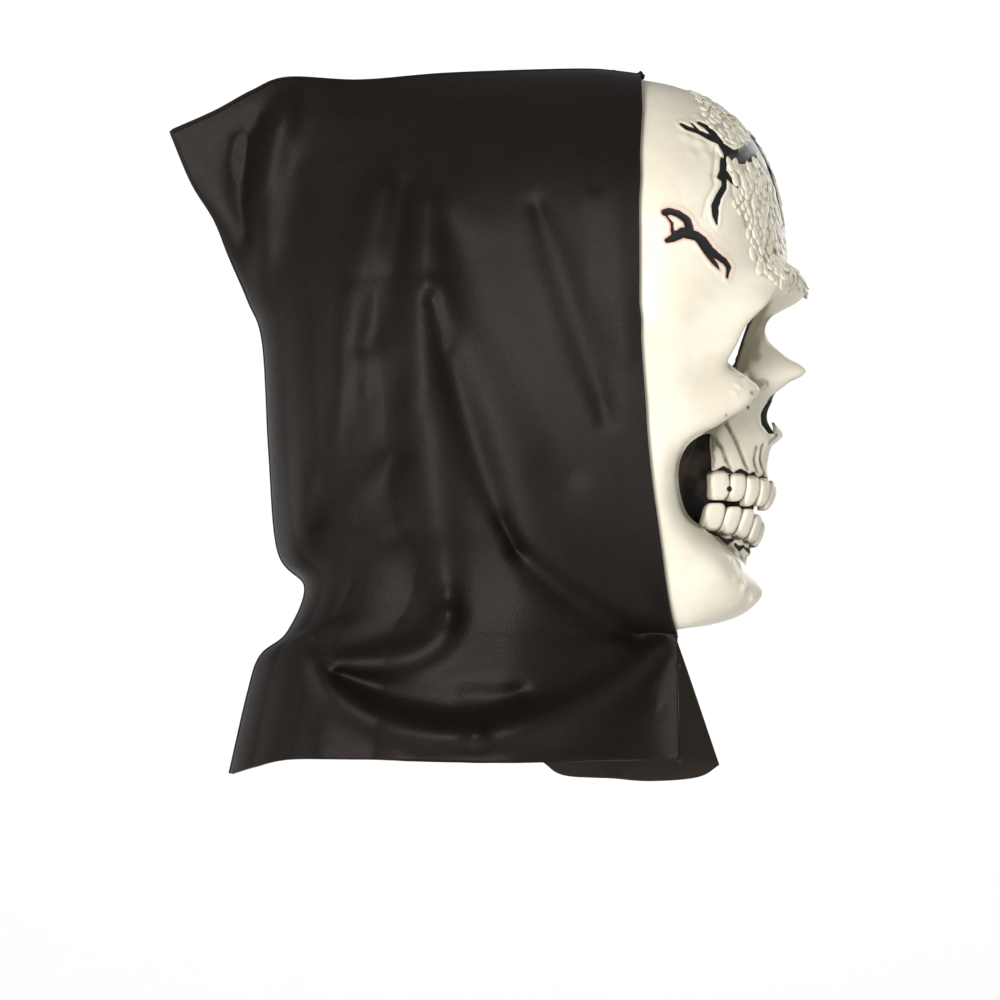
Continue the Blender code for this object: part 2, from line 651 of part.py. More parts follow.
def front_edge(v, hem):
    """The panel's front edge: sewn along the rim down to the chin, then free to the hem."""
    sewn = np.clip(v / CHIN_SHARE, 0, 1)
    free = np.clip((v - CHIN_SHARE) / (1 - CHIN_SHARE), 0, 1)
    points = np.stack([np.interp(sewn, RIM_LENGTH, RIM_POINTS[:, i]) for i in range(3)], axis=-1)
    corner = np.array(
        [
            NECK_OPENING / 2,
            -(RIM_FORWARD - hem[0][1] * HOOD_LENGTH),
            -hem[0][2] * HOOD_HEIGHT,
        ]
    )
    return points + free[..., None] * (corner - RIM_POINTS[-1])


def fold_rise(rows, back, down):
    """The height of the folds at places of the outline."""
    total = np.zeros_like(back)
    y, z = back * HOOD_LENGTH, down * HOOD_HEIGHT
    for _, back1, down1, back2, down2, back3, down3, reach, rise in rows:
        nearest = np.full_like(back, 1.0)
        for t in np.linspace(0, 1, 14):
            weights = ((1 - t) ** 2, 2 * t * (1 - t), t**2)
            fold_y = HOOD_LENGTH * np.dot(weights, (back1, back2, back3))
            fold_z = HOOD_HEIGHT * np.dot(weights, (down1, down2, down3))
            ends = 0.35 + 2.6 * min(t, 1 - t, 0.25)
            nearest = np.minimum(nearest, np.hypot(y - fold_y, z - fold_z) / ends)
        total += rise * HOOD_WIDTH * np.exp(-((nearest / (reach * HOOD_WIDTH)) ** 2))
    return total


def hood_surface(hem, folds):
    """The middle of one panel's cloth, at positive x. u runs from the front edge to the back
    seam, and v from the top seam to the hem."""

    def surface(u, v):
        front = front_edge(v, hem)
        top_back, top_down = edge(TOP_EDGE, "back", u)
        start = RIM_POINTS[0]
        joined = 1 - step(0.0, 0.06, u)
        top_back = top_back * (1 - joined)
        top_down = top_down * (1 - joined) - joined * start[2] / HOOD_HEIGHT
        rear_back, rear_down = edge(BACK_EDGE, "down", v)
        hem_back, hem_down = edge(hem, "back", u)
        front_back = (front[..., 1] + RIM_FORWARD) / HOOD_LENGTH
        front_down = -front[..., 2] / HOOD_HEIGHT
        corners = (
            (front_edge(np.zeros(1), hem)[0], (TOP_EDGE[-1][1], TOP_EDGE[-1][2])),
            (front_edge(np.ones(1), hem)[0], (hem[-1][1], hem[-1][2])),
        )
        back = (1 - u) * front_back + u * rear_back + (1 - v) * top_back + v * hem_back
        down = (1 - u) * front_down + u * rear_down + (1 - v) * top_down + v * hem_down
        for weight, (near, away) in zip((1 - v, v), corners):
            near_back = (near[1] + RIM_FORWARD) / HOOD_LENGTH
            near_down = -near[2] / HOOD_HEIGHT
            back = back - weight * ((1 - u) * near_back + u * away[0])
            down = down - weight * ((1 - u) * near_down + u * away[1])

        full = along(WIDTHS, "full", v)
        rounding = np.clip(1 - u**full, 0, 1) ** (1 / (0.4 + 0.5 * full))
        wide = along(WIDTHS, "wide", v) * HOOD_WIDTH / 2
        wide = wide + step(0.8, 1.0, v) * (HEM_WIDTH - HOOD_WIDTH) / 2
        settled = step(0.02, 0.38, u)
        x = (front[..., 0] * (1 - settled) + wide * settled) * rounding
        inside = step(0.0, 0.07, u) * step(0.0, 0.10, 1 - u) * step(0.0, 0.08, v)
        x = x + fold_rise(folds, back, down) * inside
        seam = SEAM_GAP / 2 + CLOTH / 2
        return np.stack(
            [np.maximum(x, 0) + seam * (1 - inside), back * HOOD_LENGTH - RIM_FORWARD,
             -down * HOOD_HEIGHT],
            axis=-1,
        )

    return surface


def panel(name, side, hem, folds, material):
    """One half of the hood as a wall of cloth. Its seam edges lie flat on the middle plane."""
    surface = hood_surface(hem, folds)
    share = np.linspace(0, 1, 20)
    u, v = np.meshgrid(share - 0.045 * np.sin(2 * math.pi * share), np.linspace(0, 1, 30))
    walls = [offset(surface, u, v, -distance, first=0) for distance in (CLOTH / 2, -CLOTH / 2)]
    facing = np.abs(walls[0] - walls[1])[..., 0] / CLOTH
    for wall, lean in zip(walls, (facing, 0 * facing)):
        wall[..., 0] = np.maximum(wall[..., 0], SEAM_GAP / 2)
        edge_x = SEAM_GAP / 2 + CLOTH * lean
        wall[0, :, 0] = edge_x[0]
        wall[:, -1, 0] = edge_x[:, -1]
        wall[..., 0] *= side
    return shell(name, walls[0], walls[1], material)


satin = finish("black_satin", (0.022, 0.018, 0.016), 0.5)
panel("hood_right_panel", -1, RIGHT_HEM, RIGHT_FOLDS, satin)
panel("hood_left_panel", 1, LEFT_HEM, LEFT_FOLDS, satin)
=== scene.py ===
# %% [markdown]
# # A skull mask with a black hood
#
# The real object is a moulded face of thin cream plastic with a black satin hood sewn to its rim.
# It is worn as one thing, so it is dressed here as one thing, held up as a head would hold it.
# The imported model gives every size and place. Each plain solid gets a finer piece that stands
# for it, with the relief, the paint, the weave, the seam's ridge and the knots of thread that the
# solid leaves out.

import math

import bmesh
import bpy
import numpy as np
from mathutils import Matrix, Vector, noise
from mathutils.kdtree import KDTree


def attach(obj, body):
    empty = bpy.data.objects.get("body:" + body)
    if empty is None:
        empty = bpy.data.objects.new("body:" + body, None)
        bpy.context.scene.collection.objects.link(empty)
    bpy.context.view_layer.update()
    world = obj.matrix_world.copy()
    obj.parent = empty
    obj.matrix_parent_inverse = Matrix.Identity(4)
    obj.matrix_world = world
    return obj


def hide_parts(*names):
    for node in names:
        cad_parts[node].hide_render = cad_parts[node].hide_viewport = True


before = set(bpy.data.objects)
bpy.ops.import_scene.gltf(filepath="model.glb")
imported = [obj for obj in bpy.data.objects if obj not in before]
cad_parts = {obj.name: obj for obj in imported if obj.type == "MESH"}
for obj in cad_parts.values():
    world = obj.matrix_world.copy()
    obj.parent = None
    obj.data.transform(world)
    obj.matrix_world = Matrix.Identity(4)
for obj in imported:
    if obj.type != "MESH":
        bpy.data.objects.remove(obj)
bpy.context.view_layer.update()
bpy.context.scene.view_settings.view_transform = "Standard"


def in_mm(values):
    """Lengths as they are printed."""
    return [round(value * 1000, 1) for value in values]


print("plain solids:", sorted(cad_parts))

# %% [markdown]
# ## Sizes
#
# These are the sizes that the solids were made with. A finer surface that stands for a solid has
# to follow the same rule, so the same named values shape it. All lengths are in metres.

# %% Sizes of the face
MASK_HEIGHT, MASK_WIDTH, MASK_DEPTH = 0.247, 0.176, 0.0745
MASK_WALL, BLEND, RIM_FORWARD, FLANGE = 0.0022, 0.004, 0.081, 0.007
ARCH_HALF_WIDTH, ARCH_BACK = 0.036, 0.034
TOOTH_WIDTH, TOOTH_HEIGHT, TOOTH_THICKNESS, TOOTH_PROUD = 0.0092, 0.0135, 0.0050, 0.0038
SOCKET_ACROSS, SOCKET_DOWN = 0.0375, 0.1165
SOCKET_WIDTH, SOCKET_HEIGHT, SOCKET_DEPTH = 0.054, 0.044, 0.0045
SOCKET_LEAN = math.radians(9)
EYE_WIDTH, EYE_HEIGHT = 0.037, 0.031
NOSE_WIDTH, NOSE_HEIGHT, NOSE_TOP = 0.026, 0.027, 0.1325
CHEEK_LENGTH, CHEEK_HEIGHT, CHEEK_FRONT, CHEEK_TOP = 0.0165, 0.040, 0.0320, 0.1600
MOUTH_TOP, MOUTH_GAP, THROUGH = 0.1905, 0.0055, 0.12
HALF = MASK_WIDTH / 2
print("the face is", MASK_WIDTH * 1000, "x", MASK_DEPTH * 1000, "x", MASK_HEIGHT * 1000, "mm")

# %% Sizes of the net and the hood
NET, NET_GAP, NET_SHOWN = 0.0010, 0.0011, 0.0007
HOOD_HEIGHT, HOOD_BACK, HOOD_WIDTH = 0.306, 0.1300, 0.168
CLOTH, SEAM_GAP, RIM_GAP, WELT = 0.0015, 0.0003, 0.0009, 0.0013
HEM_WIDTH, NECK_OPENING, CHIN_SHARE = 0.190, 0.076, 0.835
HOOD_LENGTH = RIM_FORWARD + HOOD_BACK
print("the hood is", round(HOOD_LENGTH * 1000), "mm from rim to corner")

# %% [markdown]
# ## Reading a table along a line
#
# A sculptor's face changes from level to level. A short table holds a row for each level, and a
# smooth curve runs through the rows. A Catmull-Rom curve is used: it passes through every value,
# and its slope at a row comes from the rows on either side, so no row makes a ridge.


# %% Tables and smooth curves
def table(rows, columns):
    """The rows' numbers as arrays named by column."""
    return {
        name: np.array([row[index + 1] for row in rows])
        for index, name in enumerate(columns)
    }


def smooth(values, place):
    """A smooth curve through evenly numbered values, read at fractional places."""
    values = np.asarray(values, float)
    place = np.clip(place, 0, len(values) - 1)
    before = np.minimum(place.astype(int), len(values) - 2)
    t = place - before
    padded = np.concatenate([[2 * values[0] - values[1]], values, [2 * values[-1] - values[-2]]])
    a, b, c, d = (padded[before + move] for move in range(4))
    return b + 0.5 * t * (c - a + t * (2 * a - 5 * b + 4 * c - d + t * (3 * (b - c) + d - a)))


def along(levels, column, down):
    """A column of a table that has a down column, read smoothly at any drop."""
    place = np.interp(down, levels["down"], np.arange(len(levels["down"])))
    return smooth(levels[column], place)


def step(low, high, value):
    """0 below low, 1 above high, and a soft rise between them."""
    t = np.clip((value - low) / (high - low), 0, 1)
    return t * t * (3 - 2 * t)


def run_along(line):
    """How far each point of a line lies from its start, along the line."""
    return np.concatenate([[0], np.cumsum(np.linalg.norm(np.diff(line, axis=0), axis=1))])


def soft_max(a, b, radius):
    """The greater of two heights, blended where they lie within a radius of each other."""
    blend = np.clip(0.5 + 0.5 * (a - b) / radius, 0, 1)
    return b + (a - b) * blend + radius * blend * (1 - blend)


print("half way between 0 and 1 the curve reads", smooth([0.0, 1.0], np.array([0.5]))[0])

# %% [markdown]
# ## The shape of the face
#
# The face is described as a sculptor would block it out. First comes a plain shell, one row for
# each level from the rim's top to the chin. A second surface carries the arch of teeth, and
# whichever of the two stands further forward is the face. Then rounded forms are laid on: the
# brow, the cheekbones, the nose. The rows hold shares of the named sizes.

# %% The levels of the face
LEVEL_COLUMNS = ("centre", "side", "width", "depth", "rim", "boxy")
FACE_LEVELS = (
    ("rim top", 0.000, 0.070, 0.560, 0.00, 0.00, 2.0),
    ("crown", 0.012, 0.105, 0.680, 0.20, -0.01, 2.0),
    ("upper forehead", 0.038, 0.150, 0.800, 0.42, -0.02, 2.0),
    ("forehead step", 0.085, 0.195, 0.885, 0.62, -0.02, 2.0),
    ("forehead", 0.140, 0.240, 0.940, 0.75, -0.03, 2.0),
    ("forehead middle", 0.205, 0.290, 0.975, 0.83, -0.03, 2.0),
    ("lower forehead", 0.275, 0.340, 0.995, 0.87, -0.03, 2.0),
    ("above the brow", 0.340, 0.385, 1.000, 0.88, -0.03, 2.0),
    ("brow", 0.385, 0.415, 0.995, 0.86, -0.03, 2.0),
    ("upper eye", 0.420, 0.445, 0.985, 0.80, -0.02, 2.0),
    ("eye", 0.465, 0.480, 0.970, 0.74, -0.02, 2.0),
    ("lower eye", 0.510, 0.520, 0.955, 0.69, -0.01, 2.0),
    ("nose tip", 0.550, 0.556, 0.940, 0.66, 0.00, 2.0),
    ("cheekbone", 0.590, 0.595, 0.920, 0.61, 0.01, 2.0),
    ("under the nose", 0.640, 0.642, 0.890, 0.50, 0.02, 2.0),
    ("upper gum", 0.700, 0.700, 0.845, 0.38, 0.04, 2.0),
    ("upper teeth", 0.750, 0.750, 0.800, 0.34, 0.06, 2.0),
    ("mouth", 0.790, 0.790, 0.760, 0.36, 0.08, 2.0),
    ("lower teeth", 0.830, 0.830, 0.710, 0.47, 0.10, 2.1),
    ("lower gum", 0.870, 0.870, 0.650, 0.60, 0.12, 2.3),
    ("chin", 0.915, 0.910, 0.575, 0.68, 0.14, 2.5),
    ("chin front", 0.950, 0.945, 0.500, 0.68, 0.16, 2.6),
    ("chin edge", 0.975, 0.972, 0.430, 0.60, 0.18, 2.5),
    ("under the chin", 0.992, 0.990, 0.370, 0.43, 0.20, 2.3),
    ("rim bottom", 1.000, 1.000, 0.320, 0.215, 0.215, 2.0),
)

# %% The rounded forms, the nose and the arch of teeth
FORM_COLUMNS = ("across", "down", "wide", "tall", "rise", "turn", "crisp")
FACE_FORMS = (
    ("glabella", 0.00, 0.397, 0.24, 0.030, 0.130, 0, 2.6),
    ("brow arch", 0.36, 0.366, 0.28, 0.026, 0.125, 3, 2.4),
    ("brow tail", 0.66, 0.402, 0.15, 0.028, 0.130, -38, 2.2),
    ("outer eye rim", 0.74, 0.470, 0.080, 0.060, 0.110, 6, 2.2),
    ("cheekbone", 0.62, 0.575, 0.17, 0.040, 0.190, -30, 2.2),
    ("cheekbone end", 0.76, 0.625, 0.10, 0.050, 0.110, 30, 2.0),
    ("lower eye rim", 0.40, 0.560, 0.14, 0.020, 0.040, -6, 2.0),
    ("temple", 0.93, 0.480, 0.12, 0.070, -0.030, 0, 2.0),
    ("beside the nose", 0.40, 0.630, 0.09, 0.045, -0.070, -28, 2.0),
    ("nasal spine", 0.00, 0.644, 0.080, 0.018, 0.030, 0, 2.0),
    ("chin boss", 0.00, 0.935, 0.30, 0.034, 0.020, 0, 2.6),
    ("chin knob", 0.17, 0.930, 0.10, 0.026, 0.035, 0, 2.0),
)

# The nose: how far its ridge stands out from the face and how wide it is, down the middle.
# rise is a share of MASK_DEPTH and wide a share of half MASK_WIDTH.
NOSE_COLUMNS = ("down", "rise", "wide")
NOSE_LEVELS = (
    ("above the root", 0.400, 0.00, 0.10),
    ("root", 0.435, -0.02, 0.10),
    ("bridge", 0.470, 0.035, 0.10),
    ("nose bones", 0.505, 0.190, 0.115),
    ("tip", 0.530, 0.330, 0.135),
    ("under the tip", 0.552, 0.285, 0.165),
    ("sides of the hole", 0.590, 0.190, 0.205),
    ("lower sides", 0.612, 0.110, 0.215),
    ("foot of the hole", 0.632, 0.085, 0.215),
    ("spine", 0.650, 0.070, 0.22),
    ("under the nose", 0.668, 0.020, 0.22),
    ("lip", 0.700, 0.00, 0.22),
)

# The arch of teeth, by drop: how far forward its middle stands, a share of MASK_DEPTH, and its
# spread, a share of ARCH_HALF_WIDTH.
ARCH_COLUMNS = ("down", "front", "wide")
ARCH_LEVELS = (
    ("eyes", 0.480, -0.50, 1.7),
    ("lower eye rim", 0.535, 0.44, 1.6),
    ("inside the cheeks", 0.580, 0.62, 1.35),
    ("above the roots", 0.622, 0.72, 1.15),
    ("under the nose", 0.660, 0.765, 1.03),
    ("upper roots", 0.700, 0.770, 1.0),
    ("upper teeth", 0.750, 0.765, 1.0),
    ("mouth", 0.790, 0.725, 1.0),
    ("lower teeth", 0.835, 0.680, 1.0),
    ("lower roots", 0.875, 0.640, 1.08),
    ("above the chin", 0.915, 0.600, 1.15),
    ("inside the chin", 0.955, 0.400, 1.2),
    ("under the chin", 0.990, -0.50, 1.2),
)

LEVELS = table(FACE_LEVELS, LEVEL_COLUMNS)
FORMS = table(FACE_FORMS, FORM_COLUMNS)
NOSE = table(NOSE_LEVELS, NOSE_COLUMNS)
ARCH = table(ARCH_LEVELS, ARCH_COLUMNS)
print(len(FACE_LEVELS), "levels,", len(FACE_FORMS), "forms")


# %% The surface of the face
def arch_forward(x, down):
    """The arch of teeth, forward of RIM_FORWARD, at a distance x from the middle."""
    half = ARCH_HALF_WIDTH * along(ARCH, "wide", down)
    return MASK_DEPTH * along(ARCH, "front", down) - ARCH_BACK * (x / half) ** 2


def relief(x, down):
    """The bony forms of the face: how far each point stands out from the plain shell."""
    forward = np.zeros_like(x)
    for index in range(len(FACE_FORMS)):
        turn = math.radians(FORMS["turn"][index])
        dx = x - FORMS["across"][index] * HALF
        dz = (FORMS["down"][index] - down) * MASK_HEIGHT
        lengthways = dx * math.cos(turn) + dz * math.sin(turn)
        over = dz * math.cos(turn) - dx * math.sin(turn)
        wide = FORMS["wide"][index] * HALF
        tall = FORMS["tall"][index] * MASK_HEIGHT
        radius = np.hypot(lengthways / wide, over / tall)
        forward += FORMS["rise"][index] * MASK_DEPTH * np.exp(-(radius ** FORMS["crisp"][index]))
    nose = np.exp(-((x / (along(NOSE, "wide", down) * HALF)) ** 2.4))
    forward += along(NOSE, "rise", down) * MASK_DEPTH * nose
    return forward


def socket_radius(x, down):
    """1 on the edge of an eye socket, less inside it."""
    dx = (x - SOCKET_ACROSS) * math.cos(SOCKET_LEAN)
    dz = (SOCKET_DOWN - down * MASK_HEIGHT) * math.cos(SOCKET_LEAN)
    dx, dz = (
        dx - (SOCKET_DOWN - down * MASK_HEIGHT) * math.sin(SOCKET_LEAN),
        dz + (x - SOCKET_ACROSS) * math.sin(SOCKET_LEAN),
    )
    sides = np.abs(2 * dx / SOCKET_WIDTH) ** 2.7 + np.abs(2 * dz / SOCKET_HEIGHT) ** 2.7
    return sides ** (1 / 2.7)


def face_point(across, level):
    """The shell's surface. across runs from -1 at one rim to 1 at the other, and level from
    0 at the top of the rim to 1 at its bottom."""
    place = level * (len(FACE_LEVELS) - 1)
    value = {name: smooth(LEVELS[name], place) for name in LEVEL_COLUMNS}
    angle = np.abs(across) * math.pi / 2
    power = 2 / value["boxy"]
    reach = np.sin(angle) ** power
    x = HALF * value["width"] * reach
    down = value["centre"] + (value["side"] - value["centre"]) * reach**2.2
    rim = value["rim"] * MASK_DEPTH
    forward = rim + (value["depth"] * MASK_DEPTH - rim) * np.clip(np.cos(angle), 0, 1) ** power
    held = 1 - step(0.90, 1.0, np.abs(across))
    forward = soft_max(forward, arch_forward(x, down), BLEND) + relief(x, down) * held
    forward -= SOCKET_DEPTH * (1 - step(0.72, 1.10, socket_radius(x, down)))
    return np.stack(
        [np.sign(across) * x, -(RIM_FORWARD + forward), -down * MASK_HEIGHT], axis=-1
    )


def offset(surface, across, level, distance, first=-1):
    """A surface moved along its outward normal, which is read a little inside its edges. Its
    first parameter runs from first to 1 and its second from 0 to 1."""
    small = 1e-3
    near_across, near_level = np.clip(across, first + 0.015, 0.985), np.clip(level, 0.012, 0.988)
    up = surface(near_across, near_level - small)
    low = surface(near_across, near_level + small)
    left = surface(near_across - small, near_level)
    right = surface(near_across + small, near_level)
    normal = np.cross(low - up, right - left)
    normal /= np.linalg.norm(normal, axis=-1, keepdims=True)
    return surface(across, level) + distance * normal


middle = face_point(np.zeros(9), np.linspace(0, 1, 9))
print("middle line, forward in mm:", np.round(-middle[:, 1] * 1000, 1))

# %% [markdown]
# ## The fine surface
#
# The solid needs only enough faces for its form. The piece that is looked at needs relief a
# millimetre across, so the same surface is read again on a fine grid. The rows are spaced evenly
# along the middle line, because rows at even levels would crowd at the mouth and leave the
# forehead coarse. One row in three is enough for the inside, which is smooth.

# %% A fine grid over the face
ROWS, COLUMNS, COARSER = 299, 269, 3


def even_levels(count):
    """Levels that lie evenly along a line a little to one side of the middle."""
    level = np.linspace(0, 1, 2000)
    line = face_point(np.full_like(level, 0.22), level)
    length = run_along(line)
    return np.interp(np.linspace(0, length[-1], count), length, level)


def face_grid(rows, columns):
    side = np.linspace(-1, 1, columns)
    return np.meshgrid(side * (0.86 + 0.14 * side**2), even_levels(rows))


across, level = face_grid(ROWS, COLUMNS)
plain = face_point(across, level)
outward = offset(face_point, across, level, 1.0) - plain
print("grid of", plain.shape[:2], "points")

# %% [markdown]
# ## Marks that are placed from the side
#
# Most of the relief and paint is best read from the side, where each mark has a distance forward
# of the origin and a drop below it. A short search over the fine grid finds the point of the
# surface behind each mark. Where two parts of the face lie one behind the other, the nearer wins.


# %% Find a place on the face
def on_face(forward, down, side=-1):
    """The point of the surface seen at a place, in millimetres, from one side."""
    points = plain.reshape(-1, 3)
    away = np.hypot(-points[:, 1] - forward / 1000, -points[:, 2] - down / 1000)
    near = away < max(0.0012, away[points[:, 0] * side >= 0].min() + 0.0004)
    near &= points[:, 0] * side >= 0
    found = points[near]
    return found[np.argmax(np.abs(found[:, 0]))]


def stroke_inside(points, stroke, side=-1):
    """How far each point lies inside a painted stroke, in millimetres. The stroke's rows are
    forward, down and half its width."""
    path = [on_face(row[0], row[1], side) * 1000 for row in stroke]
    inside = np.full(len(points), -99.0)
    for a, b, (_, _, near), (_, _, far) in zip(path, path[1:], stroke, stroke[1:]):
        along_it = b - a
        t = np.clip((points * 1000 - a) @ along_it / max(along_it @ along_it, 1e-9), 0, 1)
        away = np.linalg.norm(points * 1000 - a - t[:, None] * along_it, axis=1)
        inside = np.maximum(inside, near + (far - near) * t - away)
    return inside


print("the tip of the brow lies at", np.round(on_face(154, 93) * 1000, 1), "mm")

# %% [markdown]
# ## Cracks
#
# The forehead and the temple carry painted cracks: black, a little glossy, and sunk below the
# skin with a raised lip. An image could hold them, but a distance does it with no image. Each
# crack is a list of places with half its width. Every point of the mesh then stores how far it
# lies inside the nearest stroke, and the paint starts where that number passes zero. A distance
# changes evenly from point to point, so the edge of the paint comes out finer than the mesh.

# %% The cracks, forward, down and half width in millimetres
FOREHEAD_CRACKS = (
    ((99.5, 22.5, 1.2), (101.7, 23.9, 1.6), (105.3, 25.2, 1.4), (109.4, 27.0, 2.0),
     (113.4, 28.8, 2.2), (117.0, 31.5, 2.2), (121.0, 34.2, 2.2)),
    ((107.1, 21.2, 1.4), (109.8, 22.9, 1.9), (113.0, 26.1, 2.2), (115.7, 29.2, 1.8)),
    ((103.0, 21.2, 0.5), (105.8, 24.3, 1.0)),
    ((117.5, 33.3, 2.4), (120.6, 36.0, 3.6), (124.7, 36.5, 3.6), (128.7, 34.2, 4.0),
     (131.8, 30.2, 4.5), (133.2, 26.6, 4.0)),
    ((133.2, 26.6, 3.1), (129.6, 22.9, 1.6), (126.0, 20.7, 1.0)),
    ((118.4, 34.6, 2.2), (117.5, 39.6, 1.9), (117.0, 44.1, 2.0), (115.2, 45.9, 1.1)),
    ((117.5, 44.1, 2.1), (120.6, 47.2, 1.4), (123.3, 50.4, 0.5)),
    ((117.5, 45.0, 1.8), (117.5, 50.4, 1.4), (115.2, 55.4, 1.5), (113.0, 59.4, 2.0),
     (113.0, 63.0, 1.6), (114.3, 67.5, 0.5)),
)
FRONT_CRACK = (
    (133.2, 27.9, 4.5), (137.2, 36.0, 5.4), (140.4, 44.1, 5.4), (142.7, 52.2, 5.0),
    (144.0, 58.5, 3.1), (144.9, 63.0, 1.4),
)
TEMPLE_CRACK = (
    ((90.5, 62.6, 1.6), (93.6, 62.6, 1.5), (97.2, 63.5, 1.6), (100.4, 65.7, 1.8),
     (101.7, 68.9, 2.0), (100.4, 72.0, 2.2)),
    ((91.4, 74.7, 1.1), (94.0, 73.4, 1.8), (99.0, 71.5, 2.2), (104.4, 72.5, 2.2),
     (108.0, 75.6, 2.4), (110.7, 78.8, 2.2), (114.3, 81.9, 1.6), (117.5, 83.7, 1.5),
     (119.7, 86.4, 1.4), (118.8, 90.5, 0.7)),
    ((90.9, 63.5, 0.4), (94.0, 67.0, 0.6), (94.0, 71.1, 0.8)),
    ((105.3, 75.2, 1.0), (108.9, 80.5, 1.0), (112.5, 83.7, 1.2), (114.8, 87.3, 0.4)),
)
FAR_CRACKS = (
    ((131.8, 29.7, 4.0), (126.9, 31.5, 2.4), (121.5, 35.1, 2.1), (117.9, 39.6, 1.5),
     (115.7, 45.0, 0.5)),
    ((122.9, 34.6, 1.6), (119.7, 31.5, 1.3), (116.1, 30.2, 0.4)),
)
GUM_LINES = (
    ((113.9, 177.8, 0.4), (115.7, 176.4, 0.8), (118.8, 175.5, 1.4), (122.0, 176.8, 0.9)),
    ((123.3, 177.8, 0.7), (126.5, 176.4, 1.3), (129.6, 178.2, 0.8)),
    ((129.6, 178.7, 0.7), (132.3, 177.8, 1.1), (134.6, 180.0, 0.6)),
    ((134.6, 180.5, 0.5), (136.8, 179.1, 1.1), (139.1, 180.9, 0.5)),
    ((110.2, 201.6, 0.5), (113.0, 203.4, 1.2), (116.5, 204.8, 0.7)),
    ((117.0, 205.7, 0.6), (120.2, 207.5, 1.3), (123.3, 207.5, 0.7)),
    ((123.8, 208.8, 0.6), (126.0, 210.2, 1.2), (128.2, 209.7, 0.7)),
    ((128.7, 210.6, 0.6), (130.5, 212.0, 1.1), (132.8, 209.7, 0.5)),
)
ENGRAVED = (
    ((113.0, 31.5, 0.2), (113.0, 35.1, 0.3), (112.0, 45.9, 0.3), (112.5, 49.5, 0.3),
     (108.9, 56.7, 0.2), (107.5, 63.5, 0.1)),
    ((112.0, 45.5, 0.2), (115.7, 46.8, 0.2)),
    ((120.2, 47.7, 0.3), (121.0, 54.0, 0.3), (124.2, 59.4, 0.3), (127.4, 65.7, 0.3),
     (128.7, 72.0, 0.3)),
    ((128.7, 68.4, 0.3), (131.4, 74.7, 0.3), (135.0, 81.9, 0.3), (138.6, 88.2, 0.3)),
)
print(len(FOREHEAD_CRACKS) + len(TEMPLE_CRACK) + len(GUM_LINES) + 1, "painted strokes on this side")

# %% [markdown]
# ## Small relief
#
# The mould also carries small lumps and furrows. A lump is a soft mound round a place. A furrow
# is a stroke that is cut in instead of painted. All of them are added up into one height for
# each point of the grid, and the point moves out along the surface by that height.

# %% Lumps: forward, down, reach and height in millimetres
LUMPS = (
    (100.8, 27.9, 2.5, 0.7), (106.7, 30.6, 2.7, 0.7), (103.5, 36.0, 2.2, 0.4),
    (109.8, 36.0, 2.2, 0.5), (114.3, 32.4, 2.2, 0.9),
    (108.0, 14.4, 2.2, 0.5), (113.4, 17.1, 2.2, 0.6), (117.9, 19.8, 2.2, 0.6),
    (106.2, 18.0, 1.8, 0.4), (122.9, 31.5, 2.2, 1.2),
    (126.5, 27.9, 2.0, 0.9), (123.8, 21.6, 2.2, 0.6), (120.6, 26.1, 2.2, 0.7),
    (114.8, 22.5, 1.8, 0.5),
    (134.1, 138.6, 5.9, -3.2), (138.6, 137.7, 3.6, -2.0), (126.5, 135.0, 1.4, 0.9),
    (124.2, 138.6, 1.4, 0.8), (128.7, 131.8, 1.4, 0.7), (122.9, 142.2, 1.3, 0.6),
    (121.0, 214.2, 2.0, 1.5), (124.7, 212.8, 1.8, 1.3), (127.8, 214.2, 1.9, 1.4),
    (130.5, 212.8, 1.6, 1.2), (125.5, 217.3, 1.8, 1.0),
    (127.4, 227.7, 2.2, 1.3), (131.4, 233.6, 2.1, 1.0), (124.2, 223.7, 2.7, 0.5),
    (118.8, 224.1, 3.1, 0.3),
    (142.2, 160.2, 1.8, 1.0), (138.6, 164.7, 1.8, 0.6),
    (122.9, 182.2, 2.7, 0.4), (113.4, 167.4, 2.7, 0.5), (117.9, 167.4, 2.0, 0.4),
)
FURROWS = (
    ((110.2, 162.0, 0.1), (113.4, 161.1, 0.5), (117.0, 166.5, 0.6), (120.2, 172.3, 0.5),
     (121.5, 175.5, 0.3)),
    ((118.8, 152.1, 0.1), (120.2, 155.7, 0.5), (123.8, 163.8, 0.6), (127.8, 171.5, 0.5),
     (129.6, 175.5, 0.4)),
    ((133.7, 165.6, 0.3), (133.2, 171.0, 0.5), (134.1, 176.4, 0.5)),
    ((136.8, 164.7, 0.3), (135.9, 171.0, 0.5), (137.7, 177.3, 0.5)),
    ((131.8, 135.9, 0.4), (130.5, 142.2, 0.5), (129.6, 148.5, 0.4)),
    ((139.5, 163.8, 0.4), (141.8, 162.0, 0.5), (144.5, 160.2, 0.4)),
)
print(len(LUMPS), "lumps and", len(FURROWS), "furrows")


# %% Add up the height of the relief
def both_sides(strokes, points, far=True):
    """How far points lie inside any of some strokes, on the near side and its mirror."""
    inside = [stroke_inside(points, stroke) for stroke in strokes]
    if far:
        inside += [stroke_inside(points, stroke, 1) for stroke in strokes]
    return np.max(inside, axis=0)


